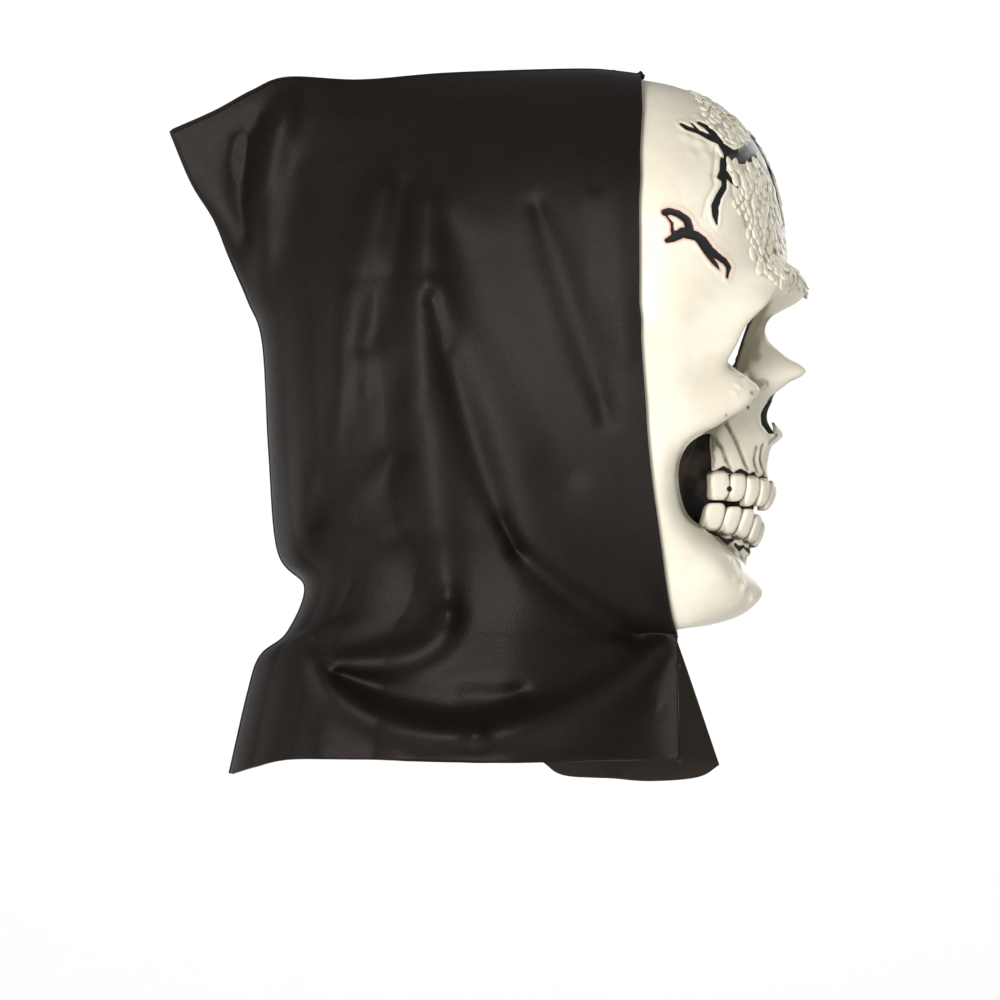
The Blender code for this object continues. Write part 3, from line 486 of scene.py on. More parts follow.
points = plain.reshape(-1, 3)
height = np.zeros(len(points))
for forward, down, reach, rise in LUMPS:
    for side in (-1, 1):
        away = np.linalg.norm(points - on_face(forward, down, side), axis=1) * 1000
        height += rise * np.exp(-((away / reach) ** 2))
furrows = both_sides(FURROWS, points)
height -= 0.9 * step(-1.3, 0.9, furrows)
lines = both_sides(ENGRAVED, points)
height -= 0.30 * step(-1.5, 0.5, lines)
temple = both_sides(TEMPLE_CRACK, points)
cracks = [both_sides((*FOREHEAD_CRACKS, FRONT_CRACK), points, far=False)]
cracks += [stroke_inside(points, stroke, 1) for stroke in FAR_CRACKS]
cracks = np.max([*cracks, both_sides(GUM_LINES, points)], axis=0)
painted = np.maximum(cracks, temple)
height += 0.45 * np.exp(-((painted + 1.1) ** 2) / 0.7) - 0.55 * step(-0.5, 0.9, painted)
print("relief from", round(height.min(), 2), "to", round(height.max(), 2), "mm")

# %% [markdown]
# ## Soft edges round the openings
#
# A moulded opening has a rounded lip. Near the outline of each opening the surface curls in by
# a millimetre or so. The distance to an outline is read in the view that the outline is drawn
# in: the eyes and the nose from the front, the cheeks from the side.

# %% The outlines of the openings
def rounded(width, height, power, count):
    """A rounded outline about the origin, from a circle at power 2 to a box at high powers."""
    angles = np.arange(count) * 2 * math.pi / count
    cosine, sine = np.cos(angles), np.sin(angles)
    return np.stack(
        [
            width / 2 * np.sign(cosine) * np.abs(cosine) ** (2 / power),
            height / 2 * np.sign(sine) * np.abs(sine) ** (2 / power),
        ],
        axis=-1,
    )


NOSE_OUTLINE = (
    ("peak", 0.00, 0.00),
    ("upper side", 0.42, 0.13),
    ("middle", 0.72, 0.38),
    ("lower side", 0.96, 0.66),
    ("widest", 1.00, 0.84),
    ("lobe", 0.78, 0.99),
    ("foot", 0.42, 1.00),
    ("spine", 0.00, 0.80),
)

CHEEK_OUTLINE = (
    ("top corner", 0.06, 0.00),
    ("front", 0.00, 0.22),
    ("middle", 0.06, 0.55),
    ("front foot", 0.10, 0.86),
    ("foot", 0.26, 0.99),
    ("underside", 0.50, 0.97),
    ("back foot", 0.78, 0.84),
    ("back", 0.97, 0.58),
    ("upper back", 0.97, 0.34),
    ("shoulder", 0.78, 0.14),
    ("top", 0.42, 0.02),
)


def fine_outline(outline, count=60):
    """A closed outline with a smooth curve through its corners."""
    closed = np.array(list(outline) * 3)
    place = np.linspace(len(outline), 2 * len(outline), count, endpoint=False)
    return np.stack([smooth(closed[:, 0], place), smooth(closed[:, 1], place)], axis=-1)


eye = rounded(EYE_WIDTH, EYE_HEIGHT, 2.5, 48) + (SOCKET_ACROSS - 0.001, -SOCKET_DOWN)
nose_side = [(x * NOSE_WIDTH / 2, -NOSE_TOP - d * NOSE_HEIGHT) for _, x, d in NOSE_OUTLINE]
nose = np.array(nose_side + [(-x, z) for x, z in nose_side[-2:0:-1]])
cheek_corners = [
    (CHEEK_FRONT - back * CHEEK_LENGTH, -CHEEK_TOP - down * CHEEK_HEIGHT)
    for _, back, down in CHEEK_OUTLINE
]
cheek = fine_outline(cheek_corners, 44)
share = np.linspace(-1, 1, 13)
upper_lip = -MOUTH_TOP + 0.002 * np.abs(share)
lower_lip = -MOUTH_TOP - MOUTH_GAP * (1 - 0.55 * np.abs(share))
mouth = np.concatenate(
    [
        np.stack([share * ARCH_HALF_WIDTH, upper_lip], axis=-1),
        np.stack([share * ARCH_HALF_WIDTH, lower_lip], axis=-1)[::-1],
    ]
)


def outline_distance(outline, a, b):
    """The distance of places from a closed outline in its own plane."""
    ends = np.roll(outline, -1, axis=0)
    away = np.full(a.shape, 1.0)
    for (x1, z1), (x2, z2) in zip(outline, ends):
        run = max((x2 - x1) ** 2 + (z2 - z1) ** 2, 1e-12)
        t = np.clip(((a - x1) * (x2 - x1) + (b - z1) * (z2 - z1)) / run, 0, 1)
        away = np.minimum(away, np.hypot(a - x1 - t * (x2 - x1), b - z1 - t * (z2 - z1)))
    return away


LIP = 0.0016
x, forward, z = points[:, 0], -points[:, 1] - RIM_FORWARD, points[:, 2]
lips = np.minimum(outline_distance(eye, np.abs(x), z), outline_distance(nose, x, z))
beside = np.where(np.abs(x) > 0.6 * ARCH_HALF_WIDTH, outline_distance(cheek, forward, z), 1)
height -= 1.0 * np.exp(-((lips / LIP) ** 2)) + 0.9 * np.exp(-((beside / LIP) ** 2))
height += 0.35 * np.exp(-(((lips - 0.0042) / LIP) ** 2))
print("points on a lip:", int((np.minimum(lips, beside) < 0.002).sum()))

# %% [markdown]
# ## Where the wash and the painted shade settle
#
# The mask is sprayed cream and wiped with a thin olive-grey wash that stays in the hollows, and
# the same hollows are painted darker as painted shade. A point is in a hollow where the surface
# around it stands further out. So the grid is blurred at three widths, and each point's depth
# below the blurred surface says how much wash and painted shade it holds.


# %% Depth below the blurred surface
def blurred(grid, radius, times=2):
    """A grid of points, each row and column averaged over a window."""
    window = np.ones(2 * radius + 1) / (2 * radius + 1)
    for _ in range(times):
        for axis in (0, 1):
            edges = [(radius, radius) if i == axis else (0, 0) for i in range(3)]
            wide = np.pad(grid, edges, mode="edge")
            grid = np.apply_along_axis(np.convolve, axis, wide, window, "valid")
    return grid


face = plain + outward * height.reshape(ROWS, COLUMNS, 1) / 1000


def depth(radius):
    """How far the face lies below itself blurred, in millimetres."""
    return ((blurred(face, radius) - face) * outward).sum(axis=-1) * 1000


fine_depth, middle_depth, broad_depth = depth(2), depth(7), depth(18)
# The olive wash and painted shade in the hollows, read at three widths.
wash_and_shade = 0.9 * step(0.10, 0.55, fine_depth) + 0.55 * step(0.25, 1.6, middle_depth)
wash_and_shade = np.clip(wash_and_shade + 0.8 * step(0.6, 4.5, broad_depth), 0, 1.6)
print("wash covers", round(float((wash_and_shade > 0.3).mean()) * 100), "% of the face")


# %% [markdown]
# ## The wall of the face
#
# The face is a closed wall: the fine grid in front, a grid a third as fine behind, and the rim's
# strip between them. The openings are cut by a Boolean with the same outlines as the solid's, as
# a knife would cut them in the moulding.


# %% Close the wall
def added(name, data):
    """A new object at the origin."""
    made = bpy.data.objects.new(name, data)
    bpy.context.collection.objects.link(made)
    return made


def finished(model, name):
    """The mesh that a bmesh has come to."""
    mesh = bpy.data.meshes.new(name)
    model.to_mesh(mesh)
    model.free()
    return mesh


def meshed(name, points, faces):
    """A mesh whose points that share a place are merged, with its normals turned outward."""
    mesh = bpy.data.meshes.new(name)
    mesh.from_pydata(points.tolist(), [], faces)
    model = bmesh.new()
    model.from_mesh(mesh)
    bmesh.ops.remove_doubles(model, verts=model.verts, dist=1e-6)
    bmesh.ops.recalc_face_normals(model, faces=model.faces)
    model.to_mesh(mesh)
    model.free()
    return mesh


def with_flange(points):
    """A face grid with one more ring of points, straight back from its rim."""
    wide = np.pad(points, ((1, 1), (1, 1), (0, 0)), mode="edge")
    ring = np.ones(wide.shape[:2], bool)
    ring[1:-1, 1:-1] = False
    wide[ring] += (0, FLANGE, 0)
    return wide


def in_one_list(grids):
    """The points of some grids, one after another."""
    return np.concatenate([grid.reshape(-1, 3) for grid in grids])


def edge_loop(rows, columns):
    """The places round the edge of a grid, in order."""
    loop = [(0, c) for c in range(columns)]
    loop += [(r, columns - 1) for r in range(1, rows)]
    loop += [(rows - 1, c) for c in range(columns - 2, -1, -1)]
    return loop + [(r, 0) for r in range(rows - 2, 0, -1)]


def closed_wall(name, outer, inner, every=1):
    """A closed mesh between two grids of points. The inner has one point for every few of the
    outer's."""
    grids = [outer, inner]
    numbers, start = [], 0
    for grid in grids:
        rows, columns = grid.shape[:2]
        numbers.append(start + np.arange(rows * columns).reshape(rows, columns))
        start += rows * columns
    faces = []
    for number, order in zip(numbers, ((0, 1, 2, 3), (3, 2, 1, 0))):
        corners = (number[:-1, :-1], number[1:, :-1], number[1:, 1:], number[:-1, 1:])
        faces += np.stack([corners[i] for i in order], axis=-1).reshape(-1, 4).tolist()
    front = [int(numbers[0][place]) for place in edge_loop(*outer.shape[:2])]
    back = [int(numbers[1][place]) for place in edge_loop(*inner.shape[:2])]
    front, back = front + front[:1], back + back[:1]
    for i in range(len(back) - 1):
        faces.append(front[i * every : (i + 1) * every + 1] + [back[i + 1], back[i]])
    return added(name, meshed(name, in_one_list(grids), faces))


coarse = slice(COARSER - 1, None, COARSER)
inside_points = plain[coarse, coarse] - outward[coarse, coarse] * MASK_WALL
face_piece = closed_wall("skull_face", with_flange(face), with_flange(inside_points), COARSER)
print("the wall has", len(face_piece.data.polygons), "faces")

# %% [markdown]
# ## Cutting the openings
#
# Each cutter is an outline run through the wall. A Boolean for each takes it away.


# %% Cut the eyes, the nose, the cheeks and the mouth
def cutter(outline, place, run):
    """An outline, each pair turned into a point by place, extruded along run."""
    model = bmesh.new()
    near = [model.verts.new(place(*pair)) for pair in outline]
    far = [model.verts.new(vertex.co + Vector(run)) for vertex in near]
    model.faces.new(near)
    model.faces.new(far[::-1])
    for i, vertex in enumerate(near):
        after = (i + 1) % len(near)
        model.faces.new((near[after], vertex, far[i], far[after]))
    bmesh.ops.recalc_face_normals(model, faces=model.faces)
    return added("cutter", finished(model, "cutter"))


def from_front(x, z):
    return (x, -(RIM_FORWARD + MASK_DEPTH + 0.02), z)


def from_side(side):
    return lambda forward, z: (side * 0.80 * ARCH_HALF_WIDTH, -(RIM_FORWARD + forward), z)


cutters = [cutter(nose, from_front, (0, THROUGH * 0.7, 0))]
cutters.append(cutter(mouth, from_front, (0, THROUGH * 0.6, 0)))
for side in (-1, 1):
    cutters.append(cutter([(side * x, z) for x, z in eye], from_front, (0, THROUGH, 0)))
    cutters.append(cutter(cheek, from_side(side), (side * THROUGH, 0, 0)))


def settle(piece):
    """Turn a piece's modifiers into plain mesh."""
    bpy.context.view_layer.update()
    evaluated = piece.evaluated_get(bpy.context.evaluated_depsgraph_get())
    made = bpy.data.meshes.new_from_object(evaluated)
    piece.modifiers.clear()
    piece.data = made
    return piece


for tool in cutters:
    cut = face_piece.modifiers.new("opening", "BOOLEAN")
    cut.operation, cut.solver, cut.object = "DIFFERENCE", "EXACT", tool
settle(face_piece)
for tool in cutters:
    bpy.data.objects.remove(tool)
face_piece.data.shade_smooth()
print("after the cuts the face has", len(face_piece.data.polygons), "faces")

# %% [markdown]
# ## Paint that is stored on the points
#
# Each vertex takes its numbers from the nearest point of the grid: how far it lies inside a
# crack, how much wash and painted shade it holds, and whether it belongs to the inside, where
# nobody painted.


# %% Store the paint's numbers
def nearest_of(mesh, places):
    """For each vertex of a mesh, the number of the nearest place and how far off it is."""
    tree = KDTree(len(places))
    for number, place in enumerate(places):
        tree.insert(place, number)
    tree.balance()
    found = [tree.find(vertex.co)[1:] for vertex in mesh.vertices]
    return np.array([number for number, _ in found]), np.array([away for _, away in found])


def store(mesh, name, values):
    """A number for each vertex, under a name that a material can read."""
    attribute = mesh.attributes.new(name, "FLOAT", "POINT")
    attribute.data.foreach_set("value", np.ascontiguousarray(values, np.float32).ravel())


nearest, away = nearest_of(face_piece.data, face.reshape(-1, 3))
store(face_piece.data, "crack", cracks[nearest])
store(face_piece.data, "temple", temple[nearest])
store(face_piece.data, "furrow", np.maximum(furrows, lines - 0.5)[nearest])
# The olive wash with painted shade in the hollows.
store(face_piece.data, "wash_and_shade", wash_and_shade.ravel()[nearest])
store(face_piece.data, "inside", step(0.0008, 0.0016, away))
print("stored", len(face_piece.data.attributes), "attributes on", len(away), "points")

# %% [markdown]
# ## A small language for paint
#
# A material is arithmetic on numbers that change from place to place. Written as nodes, each sum
# takes several lines, so a small class wraps a node's output and lets it be added and multiplied.


# %% Paint
def both_ways(kind):
    """One kind of sum, with the wrapped number first and with it last."""
    return (
        lambda self, other: self.maths(kind, self, other),
        lambda self, other: self.maths(kind, other, self),
    )


class Value:
    """A number that a material works out at each place."""

    def __init__(self, paint, socket):
        self.paint, self.socket = paint, socket

    def maths(self, operation, *values, **settings):
        settings["operation"] = operation
        made = self.paint.node("Math", settings, dict(enumerate(values)))
        return Value(self.paint, made.outputs[0])

    __add__, __radd__ = both_ways("ADD")
    __sub__, __rsub__ = both_ways("SUBTRACT")
    __mul__, __rmul__ = both_ways("MULTIPLY")
    __truediv__, __rtruediv__ = both_ways("DIVIDE")

    def most(self, other):
        return self.maths("MAXIMUM", self, other)

    def clamped(self):
        return self.maths("ADD", self, 0.0, use_clamp=True)

    def wave(self):
        return self.maths("SINE", self)

    def rise(self, low, high):
        """0 below low, 1 above high, soft between."""
        sockets = {"Value": self, "From Min": low, "From Max": high}
        made = self.paint.node("MapRange", {"interpolation_type": "SMOOTHSTEP"}, sockets)
        return Value(self.paint, made.outputs[0])


class Paint:
    """A material, and the nodes that feed it."""

    def __init__(self, name, **constants):
        self.material = bpy.data.materials.new(name)
        self.material.use_nodes = True
        self.tree = self.material.node_tree
        self.shader = self.tree.nodes["Principled BSDF"]
        for key, value in constants.items():
            self.shader.inputs[key.replace("_", " ")].default_value = value

    def node(self, kind, settings=None, sockets=None):
        """Any node: its kind, its settings and what goes into its sockets."""
        made = self.tree.nodes.new(kind if "Node" in kind else "ShaderNode" + kind)
        for name, value in (settings or {}).items():
            setattr(made, name, value)
        for key, value in (sockets or {}).items():
            self.put(made.inputs[key], value)
        return made

    def put(self, socket, value):
        if isinstance(value, Value):
            self.tree.links.new(value.socket, socket)
        elif isinstance(value, bpy.types.Material):
            socket.default_value = value
        elif isinstance(value, (tuple, list)) and len(value) == 3 and socket.type == "RGBA":
            socket.default_value = (*value, 1.0)
        else:
            socket.default_value = value

    def output(self, kind, settings=None, sockets=None, number=0):
        return Value(self, self.node(kind, settings, sockets).outputs[number])

    def stored(self, name):
        return self.output("Attribute", {"attribute_name": name}, number=2)

    def place(self):
        """Where the point lies on the object."""
        return self.output("TexCoord", number=3)

    def noise(self, scale, detail=2.0, roughness=0.5):
        """Soft noise from 0 to 1, with so many waves a metre."""
        sockets = {"Scale": scale, "Detail": detail, "Roughness": roughness}
        return self.output("TexNoise", sockets={**sockets, "Vector": self.place()})

    def mix(self, first, second, share):
        """One colour running into another."""
        settings = {"data_type": "RGBA", "clamp_factor": True}
        return self.output("Mix", settings, {0: share, 6: first, 7: second}, number=2)

    def bump(self, height, distance):
        sockets = {"Height": height, "Distance": distance, "Strength": 1.0}
        return self.output("Bump", sockets=sockets)

    def use(self, **inputs):
        for key, value in inputs.items():
            self.put(self.shader.inputs[key.replace("_", " ")], value)
        return self.material


print("paint can be mixed from", len([name for name in dir(Paint) if name[0] != "_"]), "methods")

# %% [markdown]
# ## Cream plastic
#
# The base is a warm cream, a little uneven, as thin sprayed paint is. The olive wash goes over
# it where a hollow holds it, with painted shade in the same hollows, broken up by noise because
# the wash was wiped by hand. The cut furrows and engraved lines are darkened as painted shade.
# Black goes on last, in the cracks. The inside is bare plastic.


# %% The face's material
def cream(paint):
    """The cream coat with its soft unevenness."""
    cloudy = paint.noise(38, 3.0, 0.6).rise(0.30, 0.72)
    return paint.mix((0.70, 0.645, 0.51), (0.79, 0.745, 0.625), cloudy)


def peel(paint):
    """The fine orange peel of sprayed paint."""
    return paint.bump(paint.noise(1500, 2.0, 0.5), 0.00012)


def skull_plastic():
    paint = Paint("skull_plastic", Specular_IOR_Level=0.45)
    colour = cream(paint)
    speckled = paint.noise(900, 2.0, 0.7)
    patchy = paint.noise(120, 4.0, 0.65)
    # The olive wash, with painted shade in the hollows, darkens the cream.
    wash_and_shade_amount = paint.stored("wash_and_shade") * (0.45 + 0.9 * patchy) + (speckled - 0.5) * 0.22
    colour = paint.mix(colour, (0.245, 0.215, 0.135), wash_and_shade_amount.rise(0.05, 1.15) * 0.92)
    # Painted shade in the cut furrows and the engraved lines.
    furrow_shade = (paint.stored("furrow") + (patchy - 0.5) * 0.5).rise(-1.3, 0.5)
    colour = paint.mix(colour, (0.13, 0.11, 0.085), furrow_shade * 0.8)
    halo = (paint.stored("temple") + (patchy - 0.5) * 1.2).rise(-1.5, -0.1)
    colour = paint.mix(colour, (0.62, 0.17, 0.15), halo * 0.5)
    ragged = (paint.noise(420, 3.0, 0.6) - 0.5) * 0.9
    crack = paint.stored("crack").most(paint.stored("temple")) + ragged
    black = crack.rise(-0.22, 0.10)
    brushed = (crack.rise(2.0, 3.4) * paint.noise(700, 4.0, 0.75).rise(0.50, 0.62)).clamped()
    ink = paint.mix((0.0045, 0.0030, 0.0035), (0.13, 0.105, 0.11), brushed * 0.6)
    colour = paint.mix(colour, ink, black)
    colour = paint.mix(colour, (0.66, 0.61, 0.50), paint.stored("inside"))
    rough = 0.47 + 0.05 * black + 0.12 * wash_and_shade_amount.clamped()
    return paint.use(Base_Color=colour, Roughness=rough, Normal=peel(paint))


face_piece.data.materials.clear()
face_piece.data.materials.append(skull_plastic())
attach(face_piece, "root")
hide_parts("face_mask")
print("the face's material has", len(face_piece.data.materials[0].node_tree.nodes), "nodes")


# %% [markdown]
# ## Scales on the forehead
#
# The front of the forehead is moulded with hundreds of small soft scales, like wet pebbles, that
# run down toward the brow. No two are alike, so they are scattered rather than modelled one by
# one. Geometry Nodes spread points over the face, no nearer than a scale's width, and stand a
# pebble on each, tipped so that its lower end is proud and its upper end sinks in.

# %% Where the scales are
# The back edge of the patch: pairs of a drop and a distance forward, in millimetres.
SCALE_EDGE = (
    (4, 104), (13.5, 107), (31.5, 113), (45, 118), (58, 123),
    (72, 127), (85.5, 131), (95, 137), (104, 146),
)
edge_down, edge_forward = np.array(SCALE_EDGE).T
down_mm, forward_mm = -points[:, 2] * 1000, -points[:, 1] * 1000
behind_edge = np.interp(down_mm, edge_down, edge_forward) - forward_mm
behind_edge = behind_edge + 2.5 * np.sin(down_mm * 0.45) * np.cos(down_mm * 0.17)
scaly = step(2.0, -1.5, behind_edge) * step(2, 8, down_mm) * (1 - step(92, 98, down_mm))
scaly = scaly * (1 - step(-1.4, -0.4, painted)) * step(0.004, 0.007, lips)
store(face_piece.data, "scaly", scaly[nearest] * (away < 0.0005))
# The face under the scales gets more painted shade, for the gaps between the pebbles.
wash_and_scale_shade = face_piece.data.attributes["wash_and_shade"]
wash_and_scale_shade.data.foreach_set("value", (wash_and_shade.ravel() + 0.55 * scaly)[nearest].astype(np.float32))
print("scales cover", round(float(scaly.mean()) * 100), "% of the face")


# %% Scatter the scales
class Recipe(Paint):
    """A tree of Geometry Nodes, written with the same methods as a material."""

    def __init__(self, name, **inputs):
        self.tree = bpy.data.node_groups.new(name, "GeometryNodeTree")
        self.values = {}
        self.socket("Geometry", "Geometry")
        self.socket("Geometry", "Geometry", "OUTPUT")
        for key, value in inputs.items():
            made = self.socket(key, "Int" if isinstance(value, int) else "Float")
            self.values[made.identifier] = value
        self.entry = self.tree.nodes.new("NodeGroupInput")

    def socket(self, name, kind, way="INPUT"):
        face = self.tree.interface
        return face.new_socket(name, in_out=way, socket_type="NodeSocket" + kind)

    def given(self, key):
        return Value(self, self.entry.outputs[key])

    def named(self, name):
        kind = "GeometryNodeInputNamedAttribute"
        return self.output(kind, {"data_type": "FLOAT"}, {"Name": name})

    def random(self, low, high, seed):
        sockets = {2: low, 3: high, "Seed": seed}
        return self.output("FunctionNodeRandomValue", {"data_type": "FLOAT"}, sockets, number=1)

    def vector(self, x, y, z):
        return self.output("ShaderNodeCombineXYZ", None, {"X": x, "Y": y, "Z": z})

    def grow(self, piece, result):
        """Run the recipe on a piece and keep the result as its mesh."""
        last = self.tree.nodes.new("NodeGroupOutput")
        self.tree.links.new(result.socket, last.inputs[0])
        modifier = piece.modifiers.new("recipe", "NODES")
        modifier.node_group = self.tree
        for identifier, value in self.values.items():
            modifier[identifier] = value
        return settle(piece)


def scales_recipe(material):
    recipe = Recipe("scales", Apart=0.0031, Seed=7, Size=0.0046)
    spread = recipe.node(
        "GeometryNodeDistributePointsOnFaces",
        {"distribute_method": "POISSON"},
        {
            "Mesh": recipe.given("Geometry"),
            "Distance Min": recipe.given("Apart"),
            "Density Max": 260000.0,
            "Density Factor": recipe.named("scaly"),
            "Seed": recipe.given("Seed"),
        },
    )
    spots, normal = Value(recipe, spread.outputs["Points"]), Value(recipe, spread.outputs["Normal"])
    round_one = {"Radius": 0.5, "Segments": 12, "Rings": 7}
    ball = recipe.output("GeometryNodeMeshUVSphere", None, round_one)
    position = recipe.output("GeometryNodeInputPosition")
    place = recipe.node("ShaderNodeSeparateXYZ", None, {0: position})
    x, y, z = (Value(recipe, place.outputs[i]) for i in range(3))
    slim = 1.0 - 0.34 * (x + 0.5)
    slimmer = recipe.vector(x, y * slim, z * slim)
    pebble = recipe.output(
        "GeometryNodeSetPosition", None, {"Geometry": ball, "Position": slimmer}
    )
    pebble = recipe.output(
        "GeometryNodeStoreNamedAttribute", {"data_type": "FLOAT"},
        {"Geometry": pebble, "Name": "rise", "Value": z},
    )
    upright = recipe.output("FunctionNodeAlignRotationToVector", {"axis": "Z"}, {"Vector": normal})
    turned = recipe.output(
        "FunctionNodeAlignRotationToVector",
        {"axis": "X", "pivot_axis": "Z"},
        {"Rotation": upright, "Vector": (0.0, -0.45, 1.0)},
    )
    tipped = recipe.output(
        "FunctionNodeRotateRotation",
        {"rotation_space": "LOCAL"},
        {"Rotation": turned, "Rotate By": recipe.output(
            "FunctionNodeEulerToRotation", None,
            {0: recipe.vector(0.0, recipe.random(0.03, 0.17, 3), recipe.random(-0.45, 0.45, 4))},
        )},
    )
    big = recipe.given("Size") * recipe.random(0.72, 1.28, 5)
    shape = recipe.vector(big * recipe.random(1.15, 1.7, 6), big, big * 0.33)
    stood = recipe.output(
        "GeometryNodeInstanceOnPoints", None,
        {"Points": spots, "Instance": pebble, "Rotation": tipped, "Scale": shape},
    )
    real = recipe.output("GeometryNodeRealizeInstances", None, {"Geometry": stood})
    smooth_one = recipe.output("GeometryNodeSetShadeSmooth", None, {"Geometry": real})
    done = recipe.output(
        "GeometryNodeSetMaterial", None, {"Geometry": smooth_one, "Material": material}
    )
    return recipe, done


def scale_plastic():
    """The same cream, with painted shade where a pebble meets the skin."""
    paint = Paint("scale_plastic", Specular_IOR_Level=0.45)
    # Painted shade, darker toward the base of each pebble.
    pebble_base_shade = 0.5 - paint.stored("rise") + (paint.noise(300, 3.0, 0.6) - 0.5) * 0.35
    colour = paint.mix(cream(paint), (0.42, 0.385, 0.28), pebble_base_shade.rise(0.20, 0.85) * 0.6)
    return paint.use(Base_Color=colour, Roughness=0.44)


scales = added("forehead_scales", face_piece.data.copy())
recipe, result = scales_recipe(scale_plastic())
recipe.grow(scales, result)
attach(scales, "root")
print("the scales have", len(scales.data.polygons), "faces")


# %% [markdown]
# ## Teeth
#
# Each tooth is moulded as a rounded block that stands out from the gum. A box would look like
# a tile, and a ball like a bead. A superellipsoid lies between them: one power sets how square
# it is. Each tooth narrows toward its root, and its biting edge is worn flat.

# %% The rows of teeth
TOOTH_COLUMNS = ("width", "height", "taper")
UPPER_TEETH = (
    ("front tooth", 1.02, 1.00, 0.05),
    ("second tooth", 0.88, 0.94, 0.10),
    ("eye tooth", 0.92, 1.02, 0.22),
    ("small molar", 0.98, 0.94, 0.08),
    ("molar", 1.16, 0.98, 0.05),
)
LOWER_TEETH = (
    ("front tooth", 0.82, 0.88, 0.06),
    ("second tooth", 0.86, 0.94, 0.08),
    ("eye tooth", 0.94, 1.02, 0.20),
    ("small molar", 1.02, 0.96, 0.06),
    ("molar", 1.20, 0.94, 0.04),
)


def arch_spots(teeth, down):
    """Where the teeth of one side stand: middle, direction along the arch, and width."""
    x = np.linspace(0, 1.4 * ARCH_HALF_WIDTH, 300)
    forward = arch_forward(x, np.full_like(x, down))
    length = np.concatenate([[0], np.cumsum(np.hypot(np.diff(x), np.diff(forward)))])
    widths = teeth["width"] * TOOTH_WIDTH
    middles = np.cumsum(widths) - widths / 2
    spots = []
    for middle, width in zip(middles, widths):
        here = np.array([np.interp(middle, length, x), np.interp(middle, length, forward)])
        ahead = np.array(
            [np.interp(middle + 0.001, length, x), np.interp(middle + 0.001, length, forward)]
        )
        spots.append((here, (ahead - here) / np.linalg.norm(ahead - here), width))
    return spots


# Where the roots lie, at the front teeth and at the molars, as shares of MASK_HEIGHT.
UPPER_GUM, LOWER_GUM = (0.730, 0.712), (0.852, 0.822)
TOOTH_GAP = 0.0002
SLICES, RINGS = 28, 18


def ball_grid(power):
    """A rounded box one unit wide, as a grid of points."""
    turn, tilt = np.meshgrid(
        np.linspace(0, 2 * math.pi, SLICES, endpoint=False), np.linspace(-1, 1, RINGS) * math.pi / 2
    )
    level = np.cos(tilt)
    ball = np.stack([level * np.cos(turn), level * np.sin(turn), np.sin(tilt)], axis=-1)
    size = (np.abs(ball) ** power).sum(axis=-1, keepdims=True) ** (-1 / power)
    return ball * size / 2


def tooth_points(side, spot, tangent, width, height, root, upwards, taper, index):
    """One tooth as a grid of points in the frame."""
    block = ball_grid(4.2)
    a, b, c = block[..., 0], block[..., 1], block[..., 2]
    lean = 0.10 * math.sin(index * 2.3 + side)
    narrow = 1 - taper * (c * upwards > 0) * np.abs(c) * 1.6
    a = -side * (a + lean * c) * (width - TOOTH_GAP) * narrow
    b = TOOTH_PROUD + (b - 0.5) * TOOTH_THICKNESS + 0.0006 * np.cos(math.pi * c)
    x = spot[0] + a * tangent[0] - b * tangent[1]
    z = -root * MASK_HEIGHT + upwards * (c * upwards + 0.5) * height
    forward = arch_forward(np.full_like(z, spot[0]), -z / MASK_HEIGHT)
    forward = forward + a * tangent[1] + b * tangent[0]
    return np.stack([side * x, -(RIM_FORWARD + forward), z], axis=-1)


def row_of_teeth(rows, gum, upwards):
    """The points of one arch of teeth, a grid for each tooth."""
    teeth = table(rows, TOOTH_COLUMNS)
    for index, (spot, tangent, width) in enumerate(arch_spots(teeth, sum(gum) / 2)):
        tall = teeth["height"][index] * TOOTH_HEIGHT
        root = gum[0] + (gum[1] - gum[0]) * index / (len(rows) - 1)
        for side in (-1, 1):
            yield tooth_points(
                side, spot, tangent, width, tall, root, upwards, teeth["taper"][index], index
            )


grids = [*row_of_teeth(UPPER_TEETH, UPPER_GUM, -1), *row_of_teeth(LOWER_TEETH, LOWER_GUM, 1)]
number = np.arange(RINGS * SLICES).reshape(RINGS, SLICES)
beside_it = np.roll(number, -1, axis=1)
sides = np.stack([number[:-1], beside_it[:-1], beside_it[1:], number[1:]], axis=-1).reshape(-1, 4)
tooth_faces = np.concatenate([sides + i * RINGS * SLICES for i in range(len(grids))])
tooth_mesh = meshed("teeth", in_one_list(grids), tooth_faces.tolist())
tooth_mesh.shade_smooth()
teeth = added("teeth", tooth_mesh)
print(len(grids), "teeth,", len(tooth_mesh.polygons), "faces")


# %% [markdown]
# The teeth share the face's plastic. Where one meets the next they are darkened as painted
# shade, and where each meets its gum they darken into the black gum paint, with painted shade
# before it. A number for each vertex says how near it is to either.

# %% Paint for the teeth
gum_paint_and_shade = []
for grid in grids:
    upwards = 1 if grid[..., 2].mean() < -0.195 else -1
    low, high = grid[..., 2].min(), grid[..., 2].max()
    toward_root = (grid[..., 2] - low) / (high - low)
    toward_root = toward_root if upwards < 0 else 1 - toward_root
    centre = grid.reshape(-1, 3).mean(axis=0)
    front = centre * (1, 1, 0) / np.linalg.norm(centre[:2])
    behind = -((grid - centre) @ front) * 1000
    # Painted shade toward the root and where a tooth turns back from its front, running into the
    # black gum paint at the root.
    gum_paint_and_gap_shade = step(0.82, 1.02, toward_root) + 0.8 * step(0.2, 2.2, behind)
    gum_paint_and_shade.append(np.clip(gum_paint_and_gap_shade, 0, 1.3).ravel())
nearest, _ = nearest_of(tooth_mesh, in_one_list(grids))
store(tooth_mesh, "gum_paint_and_shade", np.concatenate(gum_paint_and_shade)[nearest])


HOLE = (0, -0.1202, -0.1841)  # a black spot on the upper molar of the right side


